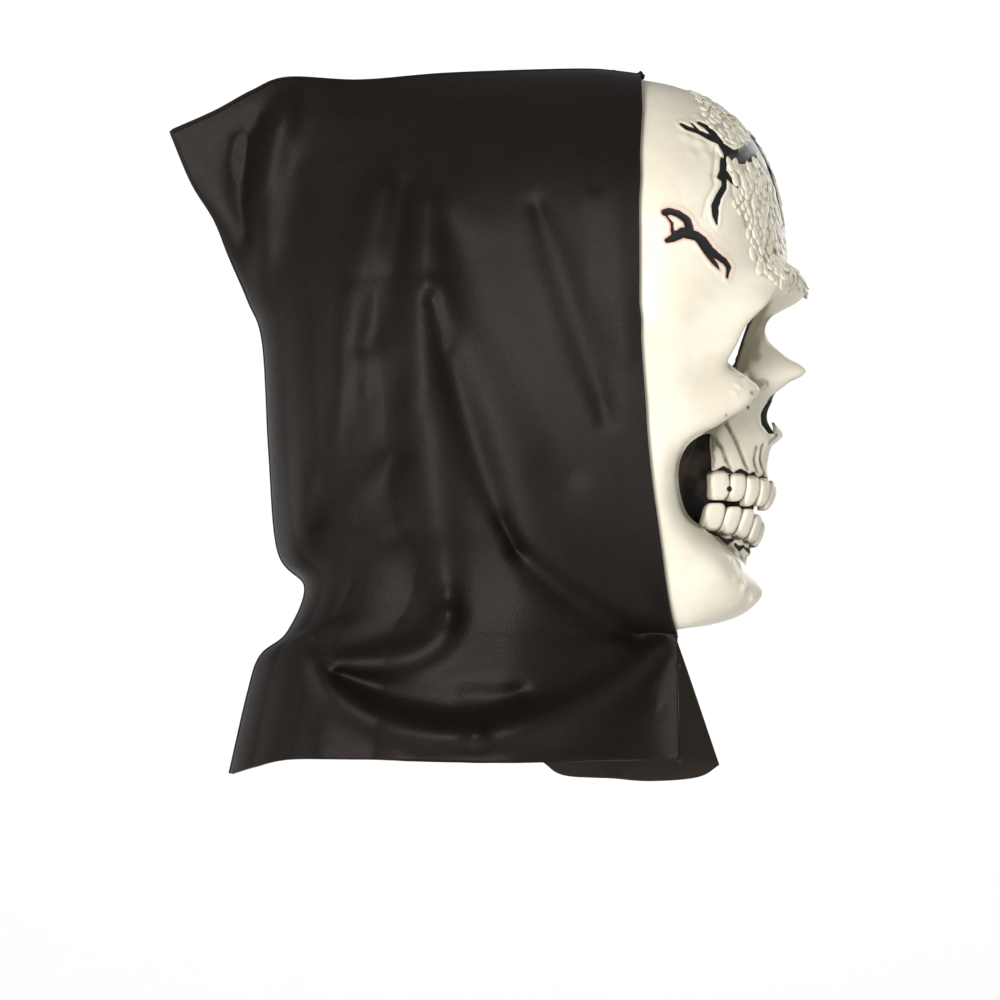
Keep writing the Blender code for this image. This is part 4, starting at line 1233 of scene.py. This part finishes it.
def tooth_enamel():
    paint = Paint("tooth_enamel", Specular_IOR_Level=0.45)
    patchy = paint.noise(260, 4.0, 0.6)
    # Painted shade between the teeth and toward the gum, then the black gum paint at the root.
    gum_paint_and_shade_level = paint.stored("gum_paint_and_shade") + (patchy - 0.5) * 0.5
    colour = paint.mix(cream(paint), (0.30, 0.26, 0.175), gum_paint_and_shade_level.rise(0.05, 0.75) * 0.8)
    colour = paint.mix(colour, (0.022, 0.018, 0.018), gum_paint_and_shade_level.rise(0.80, 1.05) * 0.9)
    seen = paint.output("VectorMath", {"operation": "MULTIPLY"}, {0: paint.place(), 1: (0, 1, 1)})
    away = paint.output("VectorMath", {"operation": "DISTANCE"}, {0: seen, 1: HOLE}, number=1)
    right = paint.output("SeparateXYZ", None, {0: paint.place()}).rise(0.001, -0.001)
    colour = paint.mix(colour, (0.006, 0.005, 0.005), away.rise(0.0015, 0.0011) * right)
    return paint.use(Base_Color=colour, Roughness=0.44, Normal=peel(paint))


tooth_mesh.materials.append(tooth_enamel())
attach(teeth, "root")
print("the teeth are painted")

# %% [markdown]
# ## The net
#
# A sheet of fine black net is glued inside, across the nose, the mouth and the cheeks. It lets air
# through and hides what is behind it. The thread is far finer than a render can show one by one,
# so the sheet is a smooth surface, and its weave is a pattern of fine dents.


# %% The net
def cloth_wall(name, surface, across, down, thickness, first=0):
    """A sheet of cloth with both its faces, and a map of its own length and width in metres."""
    u, v = np.meshgrid(across, down)
    outer, inner = (offset(surface, u, v, side * thickness / 2, first=first) for side in (1, -1))
    made = closed_wall(name, outer, inner)
    middle = (outer + inner) / 2
    lengths = [np.linalg.norm(np.diff(middle, axis=axis), axis=-1) for axis in (1, 0)]
    along_u = np.concatenate([np.zeros((len(down), 1)), np.cumsum(lengths[0], axis=1)], axis=1)
    along_v = np.concatenate([np.zeros((1, len(across))), np.cumsum(lengths[1], axis=0)], axis=0)
    store(made.data, "weft", np.tile(along_u.ravel(), 2))
    store(made.data, "warp", np.tile(along_v.ravel(), 2))
    store(made.data, "inner", np.repeat([0.0, 1.0], along_u.size))
    area = (lengths[0][:-1] * lengths[1][:, :-1]).sum()
    made.data.shade_smooth()
    flat = (lengths[0].sum(axis=1).max(), lengths[1].sum(axis=0).max())
    return made, middle, (float(flat[0]), float(flat[1])), float(area)


def net_surface(across, level):
    return offset(face_point, across, level, -(MASK_WALL + NET_GAP + NET / 2))


net_across, net_down = np.linspace(-0.70, 0.70, 150), np.linspace(0.49, 0.81, 110)
net, _, net_flat, net_area = cloth_wall(
    "net_sheet", net_surface, net_across, net_down, NET_SHOWN, first=-1
)


# How fast the weave's sine runs, in radians a metre.
NET_WEAVE, SATIN_WEAVE = 5200.0, 4200.0


def fine_net():
    paint = Paint("fine_net", Roughness=0.85, Specular_IOR_Level=0.25)
    weft, warp = paint.stored("weft"), paint.stored("warp")
    threads = (weft * NET_WEAVE).wave() * (warp * NET_WEAVE).wave()
    colour = paint.mix((0.010, 0.009, 0.009), (0.026, 0.022, 0.020), threads.rise(-0.2, 1.0))
    dusty = paint.noise(60, 2.0, 0.5).rise(0.46, 0.66)
    colour = paint.mix(colour, (0.105, 0.074, 0.053), dusty * 0.6)
    return paint.use(Base_Color=colour, Normal=paint.bump(threads, 0.0002))


net.data.materials.append(fine_net())
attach(net, "root")
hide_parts("net_backing")
print("the net is", in_mm(net_flat), "mm, and", round(net_area * 1e4), "cm2")


# %% [markdown]
# ## The hood
#
# The hood is cut as two mirrored panels with one seam over the top and down the back. Each is
# drawn as a patch between four edges: the rim in front, the seam above and behind, and the hem
# below. The folds are ridges and hollows along curved lines, laid on to follow how the cloth hangs
# from the crown and gathers at the neck.

# %% The outline and folds of the hood
EDGE_COLUMNS = ("back", "down")
TOP_EDGE = (
    ("behind the rim", 0.035, -0.010),
    ("over the forehead", 0.142, -0.013),
    ("crown", 0.410, -0.007),
    ("dip", 0.597, 0.003),
    ("back of the head", 0.751, -0.001),
    ("slope", 0.825, 0.018),
    ("to the corner", 0.905, 0.048),
    ("corner", 0.998, 0.0765),
)
BACK_EDGE = (
    ("corner", 0.998, 0.0765),
    ("under the corner", 0.953, 0.150),
    ("hollow", 0.905, 0.204),
    ("head", 0.872, 0.260),
    ("below the head", 0.832, 0.324),
    ("nape", 0.801, 0.386),
    ("straight", 0.787, 0.549),
    ("above the fold", 0.768, 0.693),
    ("fold", 0.711, 0.745),
    ("under the fold", 0.749, 0.814),
    ("shoulder", 0.806, 0.848),
    ("above the hem", 0.832, 0.900),
    ("rear corner", 0.872, 1.020),
)
RIGHT_HEM = (
    ("front corner", -0.079, 0.995),
    ("middle", 0.564, 0.990),
    ("towards the back", 0.738, 0.993),
    ("by the corner", 0.820, 1.007),
    ("rear corner", 0.872, 1.020),
)
LEFT_HEM = (
    ("front corner", -0.175, 1.012),
    ("by the corner", -0.130, 1.030),
    ("lowest", -0.030, 1.038),
    ("front", 0.060, 1.037),
    ("wave", 0.160, 1.033),
    ("behind the wave", 0.205, 1.014),
    ("middle", 0.270, 0.994),
    ("behind", 0.564, 0.985),
    ("towards the back", 0.738, 0.990),
    ("rear corner", 0.872, 1.020),
)
# How wide each panel stands, from the top seam to the hem: a share of half HOOD_WIDTH. full is
# the power that rounds its back, small at the flat corner and great round the head.
WIDTH_COLUMNS = ("down", "wide", "full")
WIDTH_LEVELS = (
    ("top seam", 0.00, 0.00, 1.5),
    ("crown", 0.08, 0.34, 1.6),
    ("over the head", 0.16, 0.60, 1.9),
    ("above the ears", 0.26, 0.84, 2.5),
    ("temples", 0.36, 0.96, 3.0),
    ("ears", 0.48, 1.00, 3.2),
    ("jaw", 0.62, 0.97, 3.0),
    ("neck", 0.76, 0.90, 2.6),
    ("shoulders", 0.88, 0.96, 2.4),
    ("hem", 1.00, 1.08, 2.4),
)
# Folds and creases: where each starts, bends and ends, in the outline's shares, and its reach
# to either side and its rise, as shares of HOOD_WIDTH. A crease has a negative rise.
RIGHT_FOLDS = (
    ("corner ridge", 0.745, 0.030, 0.800, 0.130, 0.815, 0.330, 0.050, 0.036),
    ("corner hollow", 0.850, 0.090, 0.850, 0.180, 0.845, 0.290, 0.042, -0.026),
    ("back ridge", 0.546, 0.170, 0.625, 0.476, 0.745, 0.690, 0.080, 0.038),
    ("main ridge", 0.456, 0.194, 0.475, 0.438, 0.407, 0.780, 0.075, 0.046),
    ("long crease", 0.441, 0.331, 0.375, 0.490, 0.265, 0.690, 0.044, -0.022),
    ("long crease end", 0.265, 0.690, 0.170, 0.765, 0.010, 0.820, 0.044, -0.022),
    ("front crease", 0.220, 0.200, 0.155, 0.330, 0.080, 0.500, 0.050, -0.014),
    ("crook", 0.407, 0.780, 0.405, 0.850, 0.640, 0.852, 0.044, 0.036),
    ("swag back", 0.685, 0.866, 0.600, 0.950, 0.350, 0.950, 0.050, 0.046),
    ("swag front", 0.350, 0.950, 0.110, 0.930, -0.040, 0.830, 0.050, 0.046),
    ("pocket", 0.629, 0.871, 0.420, 0.945, 0.260, 0.895, 0.052, -0.034),
)
LEFT_FOLDS = (
    ("corner ridge", 0.745, 0.030, 0.800, 0.130, 0.815, 0.330, 0.050, 0.034),
    ("corner hollow", 0.850, 0.090, 0.850, 0.180, 0.845, 0.290, 0.042, -0.026),
    ("back ridge", 0.600, 0.150, 0.640, 0.450, 0.730, 0.720, 0.080, 0.036),
    ("main ridge", 0.380, 0.200, 0.420, 0.500, 0.470, 0.820, 0.080, 0.040),
    ("front crease", 0.200, 0.260, 0.180, 0.500, 0.260, 0.740, 0.040, -0.026),
    ("swag", 0.660, 0.870, 0.360, 0.970, -0.010, 0.850, 0.060, 0.040),
    ("front wave", 0.060, 0.880, 0.050, 0.960, 0.040, 1.040, 0.040, 0.040),
    ("wave hollow", 0.150, 0.900, 0.150, 0.980, 0.150, 1.040, 0.040, -0.034),
    ("second wave", 0.230, 0.920, 0.235, 0.980, 0.235, 1.030, 0.036, 0.030),
)

WIDTHS = table(WIDTH_LEVELS, WIDTH_COLUMNS)


# %% The hood's surface
def edge(rows, key, share):
    """A point of an outline, by its share of the way along the named column."""
    columns = table(rows, EDGE_COLUMNS)
    wanted = columns[key][0] + share * (columns[key][-1] - columns[key][0])
    order = np.argsort(columns[key])
    place = np.interp(wanted, columns[key][order], np.arange(len(rows))[order])
    return smooth(columns["back"], place), smooth(columns["down"], place)


def rim_path(count=400):
    """The rim of one side, from the top centre to the corner of the chin, and its outward
    direction seen from the front."""
    along_top = np.linspace(0, 1, count // 4, endpoint=False)
    along_side = np.linspace(0, 1, count - count // 4)
    across = np.concatenate([along_top, np.ones_like(along_side)])
    level = np.concatenate([np.zeros_like(along_top), along_side])
    points = face_point(across, level)
    x, z = points[:, 0], points[:, 2]
    direction = np.stack([-np.gradient(z), np.gradient(x)], axis=-1)
    direction /= np.linalg.norm(direction, axis=-1, keepdims=True)
    direction[0] = (0, 1)
    out = np.stack([direction[:, 0], np.zeros(count), direction[:, 1]], axis=-1)
    moved = points + out * (RIM_GAP + CLOTH / 2)
    length = run_along(moved)
    return length / length[-1], moved


RIM_LENGTH, RIM_POINTS = rim_path()


def front_edge(v, hem):
    """The panel's front edge: sewn along the rim down to the chin, then free to the hem."""
    sewn = np.clip(v / CHIN_SHARE, 0, 1)
    free = np.clip((v - CHIN_SHARE) / (1 - CHIN_SHARE), 0, 1)
    points = np.stack([np.interp(sewn, RIM_LENGTH, RIM_POINTS[:, i]) for i in range(3)], axis=-1)
    corner = np.array(
        [
            NECK_OPENING / 2,
            -(RIM_FORWARD - hem[0][1] * HOOD_LENGTH),
            -hem[0][2] * HOOD_HEIGHT,
        ]
    )
    return points + free[..., None] * (corner - RIM_POINTS[-1])


def fold_rise(rows, back, down):
    """The height of the folds at places of the outline. Each fold is a run of short lines."""
    total = np.zeros_like(back)
    y, z = back * HOOD_LENGTH, down * HOOD_HEIGHT
    shares = np.linspace(0, 1, 12)
    weights = np.stack([(1 - shares) ** 2, 2 * shares * (1 - shares), shares**2])
    for _, back1, down1, back2, down2, back3, down3, reach, rise in rows:
        line_y = HOOD_LENGTH * np.dot((back1, back2, back3), weights)
        line_z = HOOD_HEIGHT * np.dot((down1, down2, down3), weights)
        nearest = np.full_like(back, 1.0)
        for i in range(len(shares) - 1):
            run_y, run_z = line_y[i + 1] - line_y[i], line_z[i + 1] - line_z[i]
            t = ((y - line_y[i]) * run_y + (z - line_z[i]) * run_z) / (run_y**2 + run_z**2)
            t = np.clip(t, 0, 1)
            away = np.hypot(y - line_y[i] - t * run_y, z - line_z[i] - t * run_z)
            place = (i + t) / (len(shares) - 1)
            ends = 0.55 + 1.8 * np.minimum(np.minimum(place, 1 - place), 0.25)
            nearest = np.minimum(nearest, away / ends)
        total += rise * HOOD_WIDTH * np.exp(-((nearest / (reach * HOOD_WIDTH)) ** 2))
    return total


def hood_surface(hem, folds):
    """The middle of one panel's cloth, at positive x. u runs from the front edge to the back
    seam, and v from the top seam to the hem."""

    def surface(u, v):
        front = front_edge(v, hem)
        top_back, top_down = edge(TOP_EDGE, "back", u)
        start = RIM_POINTS[0]
        joined = 1 - step(0.0, 0.06, u)
        top_back = top_back * (1 - joined)
        top_down = top_down * (1 - joined) - joined * start[2] / HOOD_HEIGHT
        rear_back, rear_down = edge(BACK_EDGE, "down", v)
        hem_back, hem_down = edge(hem, "back", u)
        front_back = (front[..., 1] + RIM_FORWARD) / HOOD_LENGTH
        front_down = -front[..., 2] / HOOD_HEIGHT
        corners = (
            (front_edge(np.zeros(1), hem)[0], (TOP_EDGE[-1][1], TOP_EDGE[-1][2])),
            (front_edge(np.ones(1), hem)[0], (hem[-1][1], hem[-1][2])),
        )
        back = (1 - u) * front_back + u * rear_back + (1 - v) * top_back + v * hem_back
        down = (1 - u) * front_down + u * rear_down + (1 - v) * top_down + v * hem_down
        for weight, (near, away) in zip((1 - v, v), corners):
            near_back = (near[1] + RIM_FORWARD) / HOOD_LENGTH
            near_down = -near[2] / HOOD_HEIGHT
            back = back - weight * ((1 - u) * near_back + u * away[0])
            down = down - weight * ((1 - u) * near_down + u * away[1])

        full = along(WIDTHS, "full", v)
        rounding = np.clip(1 - u**full, 0, 1) ** (1 / (0.4 + 0.5 * full))
        wide = along(WIDTHS, "wide", v) * HOOD_WIDTH / 2
        wide = wide + step(0.8, 1.0, v) * (HEM_WIDTH - HOOD_WIDTH) / 2
        settled = step(0.02, 0.38, u)
        x = (front[..., 0] * (1 - settled) + wide * settled) * rounding
        inside = step(0.0, 0.07, u) * step(0.0, 0.10, 1 - u) * step(0.0, 0.08, v)
        x = x + fold_rise(folds, back, down) * inside
        seam = SEAM_GAP / 2 + CLOTH / 2
        return np.stack(
            [np.maximum(x, 0) + seam * (1 - inside), back * HOOD_LENGTH - RIM_FORWARD,
             -down * HOOD_HEIGHT],
            axis=-1,
        )

    return surface


print("the rim is", round(run_along(RIM_POINTS)[-1] * 1000), "mm on each side")

# %% [markdown]
# The solid has the broad folds. Satin also falls into finer ones, which the light picks out
# because the cloth shines. They are laid on the same way, and a slow noise adds the small
# unevenness that cloth always has.

# %% Finer folds
FINE_FOLDS = (
    ("front ridge", 0.139, 0.103, 0.060, 0.250, 0.026, 0.397, 0.085, 0.012),
    ("front crease edge", 0.222, 0.194, 0.149, 0.324, 0.085, 0.478, 0.041, -0.006),
    ("short crease", 0.132, 0.059, 0.111, 0.110, 0.100, 0.169, 0.037, -0.009),
    ("crown hollow", 0.501, 0.169, 0.520, 0.293, 0.584, 0.394, 0.061, -0.016),
    ("crown ridge", 0.414, 0.118, 0.422, 0.309, 0.478, 0.485, 0.073, 0.013),
    ("ear crease", 0.561, 0.324, 0.569, 0.390, 0.580, 0.465, 0.024, -0.004),
    ("beside the ear crease", 0.618, 0.324, 0.610, 0.471, 0.661, 0.544, 0.061, 0.010),
    ("broad hollow", 0.401, 0.235, 0.299, 0.368, 0.149, 0.574, 0.091, -0.016),
    ("knuckle", 0.448, 0.309, 0.422, 0.341, 0.405, 0.397, 0.037, 0.010),
    ("long crease edge", 0.439, 0.324, 0.388, 0.529, 0.279, 0.671, 0.032, -0.008),
    ("long crease turn", 0.299, 0.647, 0.203, 0.768, -0.068, 0.822, 0.037, -0.014),
    ("above the turn", 0.203, 0.574, 0.085, 0.706, -0.032, 0.765, 0.085, -0.010),
    ("back ridge low", 0.529, 0.412, 0.650, 0.544, 0.772, 0.691, 0.085, 0.014),
    ("nape hollow", 0.516, 0.559, 0.614, 0.669, 0.746, 0.726, 0.073, -0.029),
    ("nape ridge", 0.503, 0.654, 0.629, 0.735, 0.734, 0.744, 0.049, 0.013),
    ("crook edge", 0.405, 0.750, 0.380, 0.876, 0.661, 0.853, 0.037, 0.012),
    ("swag edge", 0.695, 0.847, 0.584, 0.962, 0.333, 0.963, 0.037, 0.018),
    ("swag edge front", 0.350, 0.965, 0.107, 0.953, -0.068, 0.828, 0.037, 0.014),
    ("under the swag", 0.469, 0.988, 0.171, 1.018, -0.032, 0.921, 0.061, -0.017),
    ("above the swag", 0.363, 0.897, 0.171, 0.912, -0.021, 0.838, 0.061, -0.013),
    ("shoulder", 0.729, 0.882, 0.712, 0.926, 0.678, 0.971, 0.085, 0.014),
    ("corner ridge edge", 0.742, 0.000, 0.772, 0.088, 0.823, 0.184, 0.039, 0.013),
    ("corner dip", 0.819, 0.056, 0.849, 0.125, 0.836, 0.228, 0.061, -0.020),
)
ROWS_OF_CLOTH, COLUMNS_OF_CLOTH = 230, 170
UNEVEN, UNEVEN_WAVES = 0.0012, 34


def unevenness(points, waves, seed):
    """Slow noise over some points."""
    shift = Vector((seed * 7.3, seed * 3.1, 0))
    values = [noise.noise(Vector(point) * waves + shift) for point in points.reshape(-1, 3)]
    return np.array(values).reshape(points.shape[:-1])


def fine_hood(hem, folds, seed):
    """The middle of a panel with its finer folds."""
    broad = hood_surface(hem, folds)

    def surface(u, v):
        points = broad(u, v)
        back = (points[..., 1] + RIM_FORWARD) / HOOD_LENGTH
        down = -points[..., 2] / HOOD_HEIGHT
        inside = step(0.0, 0.05, u) * step(0.0, 0.06, 1 - u) * step(0.0, 0.06, v)
        ripple = fold_rise(FINE_FOLDS, back, down)
        ripple = ripple + UNEVEN * unevenness(points * (1, 1, 0.5), UNEVEN_WAVES, seed)
        points[..., 0] = np.maximum(points[..., 0] + ripple * inside, (SEAM_GAP + CLOTH) / 2)
        return points

    return surface


def satin():
    paint = Paint("black_satin_cloth", Specular_IOR_Level=0.26, Specular_Tint=(1.0, 0.90, 0.82, 1))
    weft, warp = paint.stored("weft"), paint.stored("warp")
    threads = (weft * SATIN_WEAVE).wave() * (warp * SATIN_WEAVE).wave()
    speckle = paint.noise(1700, 2.0, 0.8)
    slubs = paint.noise(500, 3.0, 0.7)
    lit = speckle.rise(0.44, 0.70)
    outside = paint.mix((0.0022, 0.0013, 0.0010), (0.0130, 0.0090, 0.0070), lit)
    colour = paint.mix(outside, (0.030, 0.024, 0.020), paint.stored("inner"))
    rough = 0.47 + 0.10 * slubs + 0.30 * paint.stored("inner")
    height = threads * 0.14 + speckle * 0.9 + slubs * 0.5
    return paint.use(Base_Color=colour, Roughness=rough, Normal=paint.bump(height, 0.00026))


cloth = satin()
print("satin has", len(cloth.node_tree.nodes), "nodes")


# %% Lay out both panels
def panel(name, side, hem, folds, seed):
    share = np.linspace(0, 1, COLUMNS_OF_CLOTH)
    made, middle, flat, area = cloth_wall(
        name,
        fine_hood(hem, folds, seed),
        share - 0.045 * np.sin(2 * math.pi * share),
        np.linspace(0, 1, ROWS_OF_CLOTH),
        CLOTH * 0.8,
    )
    for vertex in made.data.vertices:
        vertex.co.x *= side
    if side < 0:
        made.data.flip_normals()
    made.data.materials.append(cloth)
    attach(made, "root")
    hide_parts(name + "_panel")
    print(name, "is", in_mm(flat), "mm, and", round(area * 1e4), "cm2")
    return middle * (side, 1, 1)


right_middle = panel("hood_right", -1, RIGHT_HEM, RIGHT_FOLDS, 1)
panel("hood_left", 1, LEFT_HEM, LEFT_FOLDS, 2)


# %% [markdown]
# ## The seam
#
# The two panels are sewn together along the top and down the back. The allowance is turned
# inside, and the seam itself stands as a narrow round ridge between the panels.

# %% The seam's ridge
def tube(name, path, radius, sides=10):
    """A round tube along some points."""
    along_it = np.gradient(path, axis=0)
    along_it /= np.linalg.norm(along_it, axis=1, keepdims=True)
    across_it = np.array((1.0, 0.0, 0.0))
    upward = np.cross(along_it, across_it)
    turn = np.linspace(0, 2 * math.pi, sides, endpoint=False)[None, :, None]
    rings = path[:, None] + radius * (np.cos(turn) * across_it + np.sin(turn) * upward[:, None])
    number = np.arange(rings.shape[0] * sides).reshape(-1, sides)
    after = np.roll(number, -1, axis=1)
    faces = np.stack([number[:-1], after[:-1], after[1:], number[1:]], axis=-1).reshape(-1, 4)
    faces = faces.tolist() + [number[0][::-1].tolist(), number[-1].tolist()]
    mesh = bpy.data.meshes.new(name)
    mesh.from_pydata(rings.reshape(-1, 3).tolist(), [], faces)
    mesh.shade_smooth()
    mesh.materials.append(cloth)
    return added(name, mesh)


seam_path = np.concatenate([right_middle[0], right_middle[1:, -1]]) * (0, 1, 1)
seam = tube("seam_welt", seam_path, WELT)
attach(seam, "root")
print("the seam is", round(run_along(seam_path)[-1] * 1000), "mm")

# %% [markdown]
# ## Ends of thread
#
# Where a seam ends the machine's thread is drawn into a small knot. They show at the top of the
# seam, at the corner of the chin where the sewing to the rim stops, and at the hem.

# %% Knots
KNOTS = (
    ("top seam", 69.7, -5.2, 2.4), ("seam end", 84.0, -1.6, 2.6),
    ("chin corner", 96.3, 249.3, 1.8),
    ("under the chin", 97.2, 263.2, 1.5), ("hem corner", 97.6, 304.6, 1.6),
)
knot_model = bmesh.new()
cloth_points = right_middle.reshape(-1, 3)
for index, (_, forward, down, size) in enumerate(KNOTS):
    seen = np.hypot(-cloth_points[:, 1] - forward / 1000, -cloth_points[:, 2] - down / 1000)
    spot = Vector(cloth_points[np.argmin(seen)]) - Vector((CLOTH, 0, 0))
    ball = bmesh.ops.create_icosphere(knot_model, subdivisions=3, radius=size / 2000)["verts"]
    for vertex in ball:
        lumpy = 1 + 0.5 * noise.noise(vertex.co * 900 + Vector((index, 0, 0)))
        vertex.co = spot + vertex.co * lumpy * (1 + 0.5 * (index % 2))
knot_mesh = finished(knot_model, "knots")
knot_mesh.shade_smooth()
knot_mesh.materials.append(cloth)
knots = added("thread_knots", knot_mesh)
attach(knots, "root")
print(len(KNOTS), "knots")


# %% [markdown]
# ## The studio
#
# The object is looked at from its right side, from about three metres away, against a plain
# pale sweep of paper. A long lens at that distance keeps the profile true.

# %% Floor, light and camera
FLOOR_DOWN, SWEEP, WALL = 0.62, 3.4, 1.7
PICTURE, DISTANCE = 0.45, 3.0
AIM = Vector((0, -0.018, -0.189))


def paper_sweep():
    """A round floor that curves up all round into a wall."""
    model = bmesh.new()
    turn = np.linspace(0, 2 * math.pi, 96, endpoint=False)
    rings = []
    for share in np.linspace(0, 1, 40):
        curl = max(share - 0.5, 0) * math.pi
        out = SWEEP * min(share * 2, 1) + WALL * math.sin(curl)
        up = WALL * (1 - math.cos(curl))
        rings.append([model.verts.new((out * math.cos(t), out * math.sin(t), up)) for t in turn])
    for near, far in zip(rings[1:], rings[2:]):
        for i in range(len(turn)):
            after = (i + 1) % len(turn)
            model.faces.new((near[i], near[after], far[after], far[i]))
    model.faces.new(rings[1][::-1])
    bmesh.ops.delete(model, geom=rings[0], context="VERTS")
    bmesh.ops.recalc_face_normals(model, faces=model.faces)
    mesh = finished(model, "paper_sweep")
    mesh.shade_smooth()
    made = added("paper_sweep", mesh)
    made.location.z = AIM.z - FLOOR_DOWN
    paper = Paint("pale_paper", Base_Color=(0.86, 0.86, 0.855, 1), Roughness=0.95)
    mesh.materials.append(paper.material)
    return made


def soft_light(name, place, size, power, away=(0, 0, 0)):
    """A square lamp behind cloth, aimed at the object or at a place away from it."""
    lamp = bpy.data.lights.new(name, "AREA")
    lamp.energy, lamp.size = power, size
    made = added(name, lamp)
    made.location = AIM + Vector(place)
    made.rotation_euler = (Vector(away) - Vector(place)).to_track_quat("-Z", "Y").to_euler()


paper_sweep()
soft_light("camera_lamp", (-2.75, 1.0, 0.35), 0.9, 97)
soft_light("front_lamp", (-1.9, -1.9, 0.9), 1.2, 9)
soft_light("far_lamp", (2.4, -1.3, 0.7), 1.2, 30)
soft_light("paper_lamp", (1.3, 0.0, 1.3), 1.6, 96, away=(4.8, 0, 0.0))
world = bpy.data.worlds.new("studio")
world.use_nodes = True
sky = world.node_tree.nodes["Background"].inputs
sky["Color"].default_value, sky["Strength"].default_value = (1.0, 0.99, 0.97, 1), 0.25
bpy.context.scene.world = world

camera = added("camera", bpy.data.cameras.new("camera"))
camera.data.sensor_width = 36
camera.data.lens = 36 * DISTANCE / PICTURE
camera.data.clip_end = 50
camera.location = AIM - Vector((DISTANCE, 0, 0))
camera.rotation_euler = (math.pi / 2, 0, -math.pi / 2)
bpy.context.scene.camera = camera
print("the lens is", round(camera.data.lens), "mm")

# %% [markdown]
# The dressed object must stay in the plain model's box, apart from a little for the
# cloth's folds.
